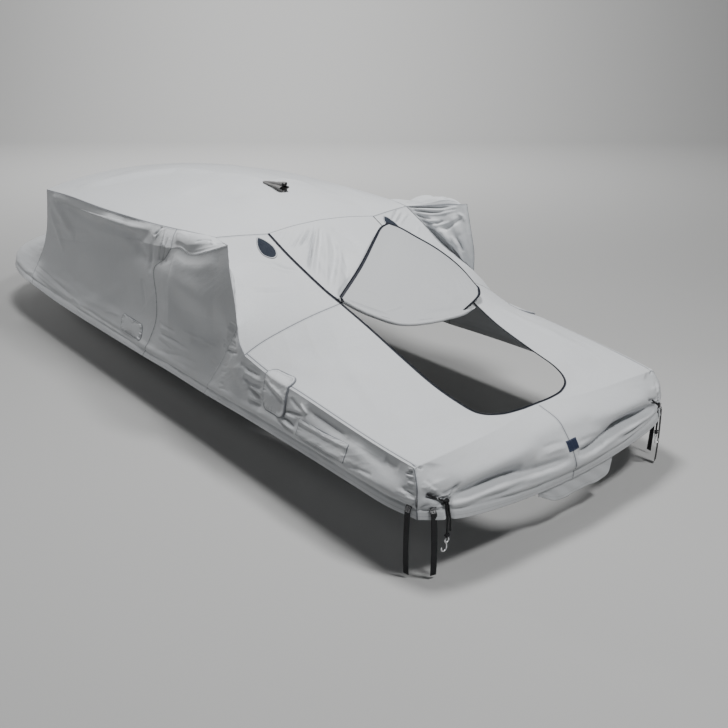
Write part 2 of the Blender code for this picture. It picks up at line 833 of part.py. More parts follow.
def add_panels(root, finishes):
    """The sewn panels. Returns their patches, and all of them as one tree."""
    panels = middle_panels()
    for word, side in (("port", -1), ("starboard", 1)):
        panels.update({f"{word}_{name}": patches for name, patches in half_panels(side).items()})
    panels["hatch"] = hatch_patches()
    normals = SeamNormals(panels)
    sheets = {name: sheet_mesh(patches, CLOTH, normals) for name, patches in panels.items()}
    tree = cloth_tree(sheets.values())
    under_hatch = cloth_tree(mesh for name, mesh in sheets.items() if name != "hatch")
    for name, mesh in sheets.items():
        add_object(name, mesh, finishes["canvas"], root)
    return panels, tree, under_hatch


def add_zips(panels, root, finishes):
    """The closed zips beside the hatch, the half zip round the opening and the one round the hatch."""
    n = STEPS
    down = n["notch"] + n["upright"]
    inboard = Vector((1, 0, 0))
    closed = {
        "port": seam("hatch_side", -1, down),
        "starboard": starboard_zip_line(),
    }
    for word, side in (("port", -1), ("starboard", 1)):
        line = closed[word] if side > 0 else closed[word][::-1]
        mesh = zip_strip(line, [-side * inboard] * len(line), ZIP_WIDTH, CLOTH)
        add_object(f"{word}_zip", mesh, finishes["zip"], root)

    starboard = seam("hatch_rim", 1, n["deck"], turned=True)
    rim = chain(seam("hatch_rim", -1, n["deck"]), starboard[: len(starboard) - n["hatch_open_starboard"]])
    toward = [beside(rim, index, Vector((0, 0, 1))) for index in range(len(rim))]
    add_object("opening_zip", zip_strip(rim, toward, RIM_ZIP_WIDTH, CLOTH), finishes["zip"], root)

    back = panels["hatch"][0][:-1]
    edge = [row[0] for row in back[::-1]] + back[0][1:-1] + [row[-1] for row in back]
    inner = [row[1] for row in back[::-1]] + back[1][1:-1] + [row[-2] for row in back]
    away = [(point - other).normalized() for point, other in zip(edge, inner)]
    strip = zip_strip(edge, away, RIM_ZIP_WIDTH, CLOTH)
    add_object("hatch_zip", strip, finishes["zip"], root)


def beside(line, index, up):
    """The level direction to the left of a line at one of its points."""
    ahead = line[min(index + 1, len(line) - 1)] - line[max(index - 1, 0)]
    return up.cross(ahead).normalized()


def add_sewn_pieces(tree, under_hatch, root, finishes):
    """Patches, vents, label and light sock."""
    for word, side in (("port", -1), ("starboard", 1)):
        for name, (fore, up, half_long, half_high, radius) in SIDE_PATCHES.items():
            rows = filled(rounded(half_long, half_high, radius))
            mesh = sewn_on(tree, rows, *side_frame(side, fore, up), CLOTH)
            add_object(f"{word}_{name}", mesh, finishes["canvas"], root)
        origin = Vector((side * VENT["out"], VENT["fore"], 1.05))
        frame = (origin, Vector((0, 1, 0)), Vector((-1, 0, 0)))
        loop = teardrop(VENT["half_long"], VENT["half_wide"])
        inner = [(x * VENT["rim"], y * VENT["rim"]) for x, y in loop]
        ring = [loop + loop[:1], inner + inner[:1]]
        mesh = sewn_on(under_hatch, ring, *frame, CLOTH)
        add_object(f"{word}_vent_rim", mesh, finishes["canvas"], root)
        hood = filled([(x * 0.985, y * 0.985) for x, y in inner], rings=3)
        mesh = sewn_on(under_hatch, hood, *frame, CLOTH, hood=VENT["hood"])
        add_object(f"{word}_vent", mesh, finishes["vent"], root)

    rows = filled(rounded(LABEL["half_long"], LABEL["half_wide"], LABEL["radius"], steps=1), rings=1)
    frame = (Vector((LABEL["across"], 0.0, LABEL["up"])), Vector((1, 0, 0)), Vector((0, 0, 1)))
    add_object("label_patch", sewn_on(tree, rows, *frame, CLOTH), finishes["vent"], root)

    sides, rings, rows = 14, 6, []
    for ring in range(rings + 1):
        share = ring / rings
        fore = SOCK["tip"] + (SOCK["mouth"] - SOCK["tip"]) * share
        radius = SOCK["tip_radius"] + (SOCK["mouth_radius"] - SOCK["tip_radius"]) * share
        floor, _ = drop(tree, Vector((SOCK["across"], fore, 2)), Vector((0, 0, -1)))
        row = []
        for corner in range(sides + 1):
            turn = 2 * math.pi * corner / sides
            wide = radius * (1 + 0.16 * share * math.cos(SOCK["pleats"] * turn))
            row.append(floor + Vector((-wide * math.cos(turn), 0, wide * math.sin(turn) + radius)))
        rows.append(row)
    mesh = lifted_clear(sheet_mesh([rows], CLOTH), tree, Vector((0, 0, 1)))
    add_object("light_sock", mesh, finishes["canvas"], root)


def add_strap(name, tree, root, finish, origin, across, outward):
    """A webbing strap sewn flat on the cloth, which hangs free below the hem."""
    rows = []
    for up in (STRAP_TOP, STRAP_TOP - 0.024, STRAP_TOP - 0.048):
        row = []
        for share in (-0.5, 0.0, 0.5):
            start = origin + share * WEBBING_WIDTH * across + 0.3 * outward
            start.z = up
            point, _ = drop(tree, start, -outward)
            row.append(point + WEBBING_THICK * outward)
        rows.append(row)
    hung = rows[-1]
    for share in (0.2, 0.4, 0.6, 0.8, 1.0):
        down = share * (STRAP_END - hung[0].z)
        sway = 0.006 * math.sin(2.6 * share) * outward + 0.004 * share * across
        rows.append([point + sway + Vector((0, 0, down)) for point in hung])
    mesh = lifted_clear(sheet_mesh([rows[::-1]], WEBBING_THICK), tree, outward)
    add_object(name, mesh, finish, root)


def clear_of_cloth(tree, point, radius):
    """The point moved aft until a round cord there just clears the cloth."""
    for _ in range(20):
        point.y -= max(0.0, radius + CORD_GAP - tree.find_nearest(point)[3])
    return point


def on_stern(tree, across, up, radius):
    """The middle of a round cord laid on the outside of the stern's cloth, or None below the hem."""
    point, _ = drop(tree, Vector((across, -0.5, up)), Vector((0, 1, 0)))
    return clear_of_cloth(tree, point, radius) if point else None


def hung_cord(tree, start, end_up, drift=0.0):
    """A cord that falls from a place on the stern, outside the cloth, and drifts sideways as it falls."""
    steps = math.ceil((start.z - end_up) / 0.008)
    points, back = [], start.y
    for step in range(steps + 1):
        up = start.z + (end_up - start.z) * step / steps
        across = start.x + drift * step / steps
        laid = on_stern(tree, across, up, CORD_DIAMETER / 2)
        back = min(back, laid.y) if laid else back
        points.append(clear_of_cloth(tree, Vector((across, back, up)), CORD_DIAMETER / 2))
        back = points[-1].y
    return points


def add_tie(word, side, tree, root, finishes):
    """A cord from under a fold, knotted on the stern: one strand holds a wire hook and one ends free."""
    up, out = Vector((0, 0, 1)), Vector((side, 0, 0))
    across = side * TIE_OUT[word]
    knot = on_stern(tree, across, TIE_TOP, KNOT)
    arm = [on_stern(tree, across + aside, TIE_TOP + rise, CORD_DIAMETER / 2) for aside, rise in TIE_ARM]
    path = spline(arm + hung_cord(tree, knot, TIE_END), 40)
    radii = []
    for point in path:
        bulge = max(0.0, 1.0 - ((point - knot).length / (1.3 * KNOT)) ** 2)
        radii.append(CORD_DIAMETER / 2 + (KNOT - CORD_DIAMETER / 2) * bulge)
    path += [path[-1] - fall * up for fall in (0.006, 0.013, 0.018)]
    radii += [0.8 * KNOT, 0.8 * KNOT, 0.4 * KNOT]
    add_cord(f"{word}_tie_rope", path, radii, finishes["cord"], root)
    tail = hung_cord(tree, knot - TAIL_ASIDE * out - 0.016 * up, TAIL_END, drift=-0.004 * side)
    add_cord(f"{word}_tie_tail", tail, [CORD_DIAMETER / 2] * len(tail), finishes["cord"], root)
    foot = path[-1] - (EYE + HOOK_WIRE / 2 + SEAM_GAP) * up
    neck = foot - EYE * up
    bow = neck - SHANK * up
    wire = arc(foot, out, up, EYE, 268, -42, 14) + [neck + 0.2 * EYE * out - 0.6 * EYE * up, bow]
    wire += arc(bow + BOW * out, -out, up, BOW, -8, -200, 10)
    hook = tube(wire, [HOOK_WIRE / 2] * (len(wire) - 1) + [HOOK_WIRE / 2.4])
    add_object(f"{word}_tie_hook", hook, finishes["chrome"], root)


def add_tongue(tree, root, finish):
    """The inner flap that hangs under the stern hem."""
    lower = spline([(across, 0, up) for across, up in TONGUE], 12)
    rows = []
    for share in (0.0, 0.35, 0.7, 1.0):
        row = []
        for point in lower:
            inside, _ = drop(tree, Vector((point.x, 0.3, TONGUE_TOP)), Vector((0, -1, 0)))
            up = point.z + (TONGUE_TOP - point.z) * share
            wave = 0.004 * (1 - share) * math.sin(17 * point.x)
            row.append(Vector((point.x, inside.y + 0.004 + wave, up)))
        rows.append(row)
    mesh = lifted_clear(sheet_mesh([rows], CLOTH), tree, Vector((0, 1, 0)))
    add_object("stern_tongue", mesh, finish, root)


def main():
    for old in list(bpy.data.objects):
        bpy.data.objects.remove(old)
    root = bpy.data.objects.new("cover_frame", None)
    root.location = -UNDER_TOP
    bpy.context.collection.objects.link(root)
    finishes = {
        "canvas": material("silver_canvas", (0.62, 0.64, 0.65), 0.85),
        "zip": material("navy_zip", (0.02, 0.03, 0.06), 0.55),
        "vent": material("navy_mesh", (0.03, 0.05, 0.09), 0.70),
        "webbing": material("black_webbing", (0.01, 0.01, 0.012), 0.65),
        "cord": material("black_cord", (0.02, 0.02, 0.024), 0.80),
        "chrome": material("chrome_wire", (0.75, 0.76, 0.78), 0.15, metallic=1.0),
    }
    panels, tree, under_hatch = add_panels(root, finishes)
    add_zips(panels, root, finishes)
    add_sewn_pieces(tree, under_hatch, root, finishes)
    for word, side in (("port", -1), ("starboard", 1)):
        fore, starboard = Vector((0, 1, 0)), Vector((1, 0, 0))
        on_side = (Vector((side * 1.25, SIDE_STRAP_FORE, 0)), side * fore, side * starboard)
        on_back = (Vector((side * STERN_STRAP_OUT, 0, 0)), starboard, -fore)
        add_strap(f"{word}_side_strap", tree, root, finishes["webbing"], *on_side)
        add_strap(f"{word}_stern_strap", tree, root, finishes["webbing"], *on_back)
        add_tie(word, side, tree, root, finishes)
    add_tongue(tree, root, finishes["canvas"])


main()
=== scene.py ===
import math

import bmesh
import bpy
import numpy as np
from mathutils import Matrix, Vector
from mathutils.bvhtree import BVHTree


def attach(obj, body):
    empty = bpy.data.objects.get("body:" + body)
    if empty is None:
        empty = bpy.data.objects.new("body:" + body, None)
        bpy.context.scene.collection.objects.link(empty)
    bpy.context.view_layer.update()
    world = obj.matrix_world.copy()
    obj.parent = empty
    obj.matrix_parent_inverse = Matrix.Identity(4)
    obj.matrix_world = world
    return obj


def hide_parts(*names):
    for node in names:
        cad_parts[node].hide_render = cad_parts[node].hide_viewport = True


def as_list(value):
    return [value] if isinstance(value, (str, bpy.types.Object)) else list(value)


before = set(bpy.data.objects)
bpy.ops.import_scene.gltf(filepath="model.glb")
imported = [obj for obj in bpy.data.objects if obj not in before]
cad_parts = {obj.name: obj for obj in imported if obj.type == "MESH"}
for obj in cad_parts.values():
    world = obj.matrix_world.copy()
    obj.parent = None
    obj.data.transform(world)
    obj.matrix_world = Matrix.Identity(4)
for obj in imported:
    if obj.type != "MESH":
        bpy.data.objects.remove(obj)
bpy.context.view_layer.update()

underTop = np.array((0.0, 3.90, 1.33))  # the frame's origin, from the boat's own zero at the stern
fine = 10  # mesh rows for each step of a seam

view = {"at": (-4.0558, -6.8239, 1.282), "down": 0.3752, "toStarboard": 0.6839, "lens": 41.894}
camera = bpy.data.objects.new("camera", bpy.data.cameras.new("camera"))
camera.data.lens = view["lens"]
camera.location = view["at"]
camera.rotation_euler = (math.pi / 2 - view["down"], 0, -view["toStarboard"])
camera.data.clip_end = 200
bpy.context.scene.collection.objects.link(camera)
bpy.context.scene.camera = camera

cordRoutes = {  # from the boat's own zero, as the panels are
    "portTieRope": (
        (-1.143, 0.0835, 0.18), (-1.124, 0.0745, 0.1659), (-1.1042, 0.0657, 0.153),
        (-1.0833, 0.0576, 0.1414), (-1.0634, 0.0465, 0.1311), (-1.0472, 0.0294, 0.1221),
        (-1.047, 0.0284, 0.0971), (-1.047, 0.0227, 0.0726), (-1.047, 0.0179, 0.0478),
        (-1.047, 0.0125, 0.0232), (-1.047, 0.0115, -0.002), (-1.047, 0.0115, -0.0272),
        (-1.047, 0.0115, -0.0525), (-1.047, 0.0115, -0.0777), (-1.047, 0.0115, -0.103),
    ),
    "portTieTail": (
        (-1.0345, 0.0263, 0.106), (-1.0342, 0.0219, 0.0946), (-1.034, 0.0182, 0.083),
        (-1.0337, 0.0164, 0.0709), (-1.0334, 0.0138, 0.059), (-1.0331, 0.0111, 0.0471),
        (-1.0328, 0.0084, 0.0352), (-1.0325, 0.0057, 0.0233), (-1.0322, 0.0037, 0.0113),
        (-1.032, 0.0035, -0.0009), (-1.0317, 0.0035, -0.0132), (-1.0314, 0.0035, -0.0254),
        (-1.0311, 0.0035, -0.0376), (-1.0308, 0.0035, -0.0498), (-1.0305, 0.0035, -0.062),
    ),
    "starboardTieRope": (
        (0.982, 0.0321, 0.18), (1.0015, 0.0309, 0.1655), (1.0216, 0.0348, 0.1525), (1.042, 0.0418, 0.1412),
        (1.0633, 0.0453, 0.1303), (1.0784, 0.0421, 0.1146), (1.078, 0.0391, 0.0907),
        (1.078, 0.0355, 0.0666), (1.078, 0.0311, 0.0427), (1.078, 0.0264, 0.0188), (1.078, 0.0262, -0.0056),
        (1.078, 0.0262, -0.0299), (1.078, 0.0262, -0.0543), (1.078, 0.0262, -0.0786),
        (1.078, 0.0262, -0.103),
    ),
    "starboardTieTail": (
        (1.0655, 0.0393, 0.106), (1.0652, 0.0349, 0.0946), (1.065, 0.0315, 0.083), (1.0647, 0.03, 0.0709),
        (1.0644, 0.028, 0.0589), (1.0641, 0.0254, 0.047), (1.0638, 0.0228, 0.0351),
        (1.0635, 0.0202, 0.0232), (1.0632, 0.0191, 0.0111), (1.063, 0.0191, -0.0011),
        (1.0627, 0.0191, -0.0133), (1.0624, 0.0191, -0.0255), (1.0621, 0.0191, -0.0376),
        (1.0618, 0.0191, -0.0498), (1.0615, 0.0191, -0.062),
    ),
}

steps = {
    "frontWall": 18, "ear": 7, "lip": 4, "upright": 5, "legFoot": 5, "notch": 2, "slope": 5, "hatch": 8,
    "deck": 14, "hatchOpenStarboard": 2, "hatchBack": 8, "bend": 3,
}

seams = {  # along the boat's port side turned to plus: aside, ahead of the stern, up
    "roofEdge": (
        (1.17, 5.57, 1.15), (1.185, 4.93, 1.178), (1.18, 4.25, 1.175), (1.145, 3.73, 1.172),
        (1.105, 3.34, 1.17), (1.06, 3.06, 1.17),
    ),
    "earRoot": ((1.06, 3.06, 1.17), (1.015, 2.85, 1.17), (0.96, 2.64, 1.165)),
    "earLip": ((0.96, 2.64, 1.165), (1.065, 2.37, 1.2), (1.17, 2.1, 1.24)),
    "earGusset": ((1.15, 3, 1.045), (1.11, 3.03, 1.12), (1.06, 3.06, 1.17)),
    "earOutside": (
        (1.15, 3, 1.045), (1.16, 2.84, 1.085), (1.175, 2.63, 1.075), (1.185, 2.36, 1.15),
        (1.17, 2.1, 1.24),
    ),
    "earBack": ((1.19, 2, 0.67), (1.205, 1.99, 0.86), (1.2, 2.04, 1.06), (1.17, 2.1, 1.24)),
    "earValley": ((0.96, 2.64, 1.165), (1.07, 2.33, 0.91), (1.19, 2, 0.67)),
    "legFront": (
        (1.29, 3.42, 0.06), (1.255, 3.35, 0.2), (1.22, 3.25, 0.4), (1.205, 3.23, 0.6), (1.18, 3.28, 0.82),
        (1.155, 3.13, 0.93), (1.15, 3, 1.045),
    ),
    "legBack": (
        (1.29, 2.38, 0.065), (1.255, 2.31, 0.2), (1.225, 2.2, 0.36), (1.215, 2.09, 0.52), (1.19, 2, 0.67),
    ),
    "notch": ((1.19, 2, 0.67), (1.23, 1.92, 0.59), (1.24, 1.84, 0.52)),
    "slopeHead": ((0.96, 2.64, 1.165), (0.745, 2.61, 1.155), (0.535, 2.58, 1.14)),
    "hatchHead": ((0.535, 2.58, 1.14), (0.27, 2.6, 1.165), (0, 2.61, 1.175)),
    "hatchSide": ((0.535, 2.58, 1.14), (0.53, 2.3, 1.01), (0.53, 1.9, 0.862), (0.53, 1.67, 0.795)),
    "slopeFoot": (
        (1.24, 1.84, 0.52), (1.12, 1.82, 0.585), (0.96, 1.78, 0.655), (0.75, 1.72, 0.735),
        (0.53, 1.67, 0.795),
    ),
    "deckEdge": (
        (1.24, 1.84, 0.52), (1.222, 1.55, 0.452), (1.218, 1.21, 0.43), (1.21, 0.79, 0.388),
        (1.195, 0.43, 0.35), (1.17, 0.17, 0.32),
    ),
    "hatchRim": (
        (0.53, 1.67, 0.795), (0.51, 1.36, 0.68), (0.495, 1.08, 0.57), (0.498, 0.76, 0.47),
        (0.485, 0.52, 0.41), (0.43, 0.38, 0.365), (0.3, 0.305, 0.348), (0.15, 0.275, 0.348),
        (0, 0.27, 0.35),
    ),
    "sternRoll": (
        (1.17, 0.17, 0.32), (0.9, 0.165, 0.335), (0.45, 0.185, 0.342), (0.18, 0.235, 0.346),
        (0, 0.27, 0.35),
    ),
    "corner": ((1.205, 0.095, 0.03), (1.205, 0.105, 0.12), (1.195, 0.115, 0.22), (1.17, 0.17, 0.32)),
    "sternCentre": (
        (0, -0.06, -0.06), (0, -0.072, 0.06), (0, -0.035, 0.15), (0, 0.02, 0.225), (0, 0.1, 0.3),
        (0, 0.27, 0.35),
    ),
    "sternHem": (
        (1.205, 0.095, 0.03), (1.07, 0.01, 0.02), (0.87, -0.03, -0.01), (0.5, -0.05, -0.045),
        (0.2, -0.058, -0.058), (0, -0.06, -0.06),
    ),
    "sideHem": (
        (1.29, 2.38, 0.065), (1.292, 1.8, 0.078), (1.292, 1.12, 0.08), (1.29, 0.6, 0.075),
        (1.275, 0.3, 0.06), (1.205, 0.095, 0.03),
    ),
    "legHem": ((1.29, 3.42, 0.06), (1.292, 2.9, 0.07), (1.29, 2.38, 0.065)),
    "frontHem": ((1.275, 6.12, 0.08), (1.29, 5.3, 0.06), (1.29, 4.3, 0.055), (1.29, 3.42, 0.06)),
    "bowCorner": (
        (1.275, 6.12, 0.08), (1.215, 6.18, 0.19), (1.15, 6.16, 0.32), (1.14, 5.98, 0.5),
        (1.145, 5.8, 0.72), (1.16, 5.66, 0.95), (1.17, 5.57, 1.15),
    ),
    "bowHem": (
        (1.275, 6.12, 0.08), (1.25, 6.55, 0.09), (1.165, 6.98, 0.105), (0.99, 7.28, 0.115),
        (0.7, 7.52, 0.12), (0.35, 7.68, 0.125), (0, 7.73, 0.125),
    ),
    "bowCentre": (
        (0, 7.73, 0.125), (0, 7.72, 0.24), (0, 7.6, 0.31), (0, 7.1, 0.37), (0, 6.55, 0.48),
        (0, 6.15, 0.74), (0, 5.92, 1.04), (0, 5.8, 1.255),
    ),
    "roofFront": ((1.17, 5.57, 1.15), (0.9, 5.66, 1.195), (0.45, 5.76, 1.24), (0, 5.8, 1.255)),
    "roofRidge": (
        (0, 5.8, 1.255), (0, 5.2, 1.315), (0, 4.4, 1.352), (0, 3.6, 1.352), (0, 3, 1.29), (0, 2.61, 1.175),
    ),
}

belly = {"frontWall": -0.03, "legPanel": 0.018, "earTop": 0.055,
         "earBack": 0.014, "slopePanel": -0.012, "skirt": 0.01}

# Broad folds: the side (0 for both), then two ends across and up the panel, width and height, in thousandths.
folds = {
    "frontWall": (
        (-1, 30, 960, 300, 600, 70, 16), (-1, 30, 860, 220, 420, 60, 12), (0, 120, 930, 600, 910, 50, -28),
        (-1, 500, 120, 780, 340, 60, 10), (0, 680, 900, 930, 550, 60, -14), (1, 40, 920, 300, 520, 70, 13),
        (1, 360, 140, 660, 400, 60, 10),
    ),
    "legPanel": ((-1, 200, 800, 750, 550, 160, 22), (-1, 950, 450, 550, 300, 60, -16)),
    "earTop": ((-1, 450, 500, 980, 450, 90, 8),),
    "earBack": ((0, 500, 400, 800, 850, 40, 22), (0, 350, 550, 300, 900, 40, 16)),
    "slopePanel": ((-1, 100, 600, 850, 720, 80, 10), (1, 200, 400, 800, 620, 80, 10)),
    "skirt": (
        (-1, 50, 700, 300, 300, 60, 10), (-1, 720, 800, 950, 400, 60, 10), (1, 300, 750, 600, 350, 60, 10),
        (1, 800, 800, 960, 450, 60, 10),
    ),
    "deckPanel": (
        (-1, 150, 880, 600, 550, 100, 8), (-1, 250, 250, 600, 750, 60, 12),
        (1, 200, 700, 600, 350, 100, 8), (1, 300, 300, 620, 780, 60, 12),
    ),
    "roof": ((0, 120, 860, 460, 930, 120, -14), (0, 300, 100, 550, 400, 160, 10)),
    "bowPanel": ((0, 200, 750, 300, 350, 120, 20), (0, 800, 750, 700, 350, 120, 20)),
    "hatchDown": (
        (0, 300, 970, 50, 620, 35, 10), (0, 320, 970, 140, 400, 35, 11), (0, 340, 970, 260, 250, 40, 12),
        (0, 360, 970, 400, 200, 45, 12), (0, 400, 950, 620, 350, 50, 8),
    ),
}

drawnInboard = {"earBack": 0.045}  # the starboard side hangs straighter there

hatchFold = (
    (-0.512, 1.67, 0.795), (-0.44, 1.5, 0.735), (-0.29, 1.32, 0.672), (-0.08, 1.26, 0.648),
    (0.15, 1.25, 0.64), (0.32, 1.262, 0.638), (0.494, 1.31, 0.655),
)
hatchEnd = (
    (0.56, 2.415, 1.1), (0.64, 2.36, 1.062), (0.69, 2.24, 1.01), (0.78, 2.04, 0.915), (0.79, 1.79, 0.818),
    (0.67, 1.46, 0.735),
)
hatchPortEdge = ((-0.15, 1.9, 0.955), (0.22, 2.18, 1.062), (0.4, 2.32, 1.1))
hatchStarboardEdge = ((0.56, 1.36, 0.712),)

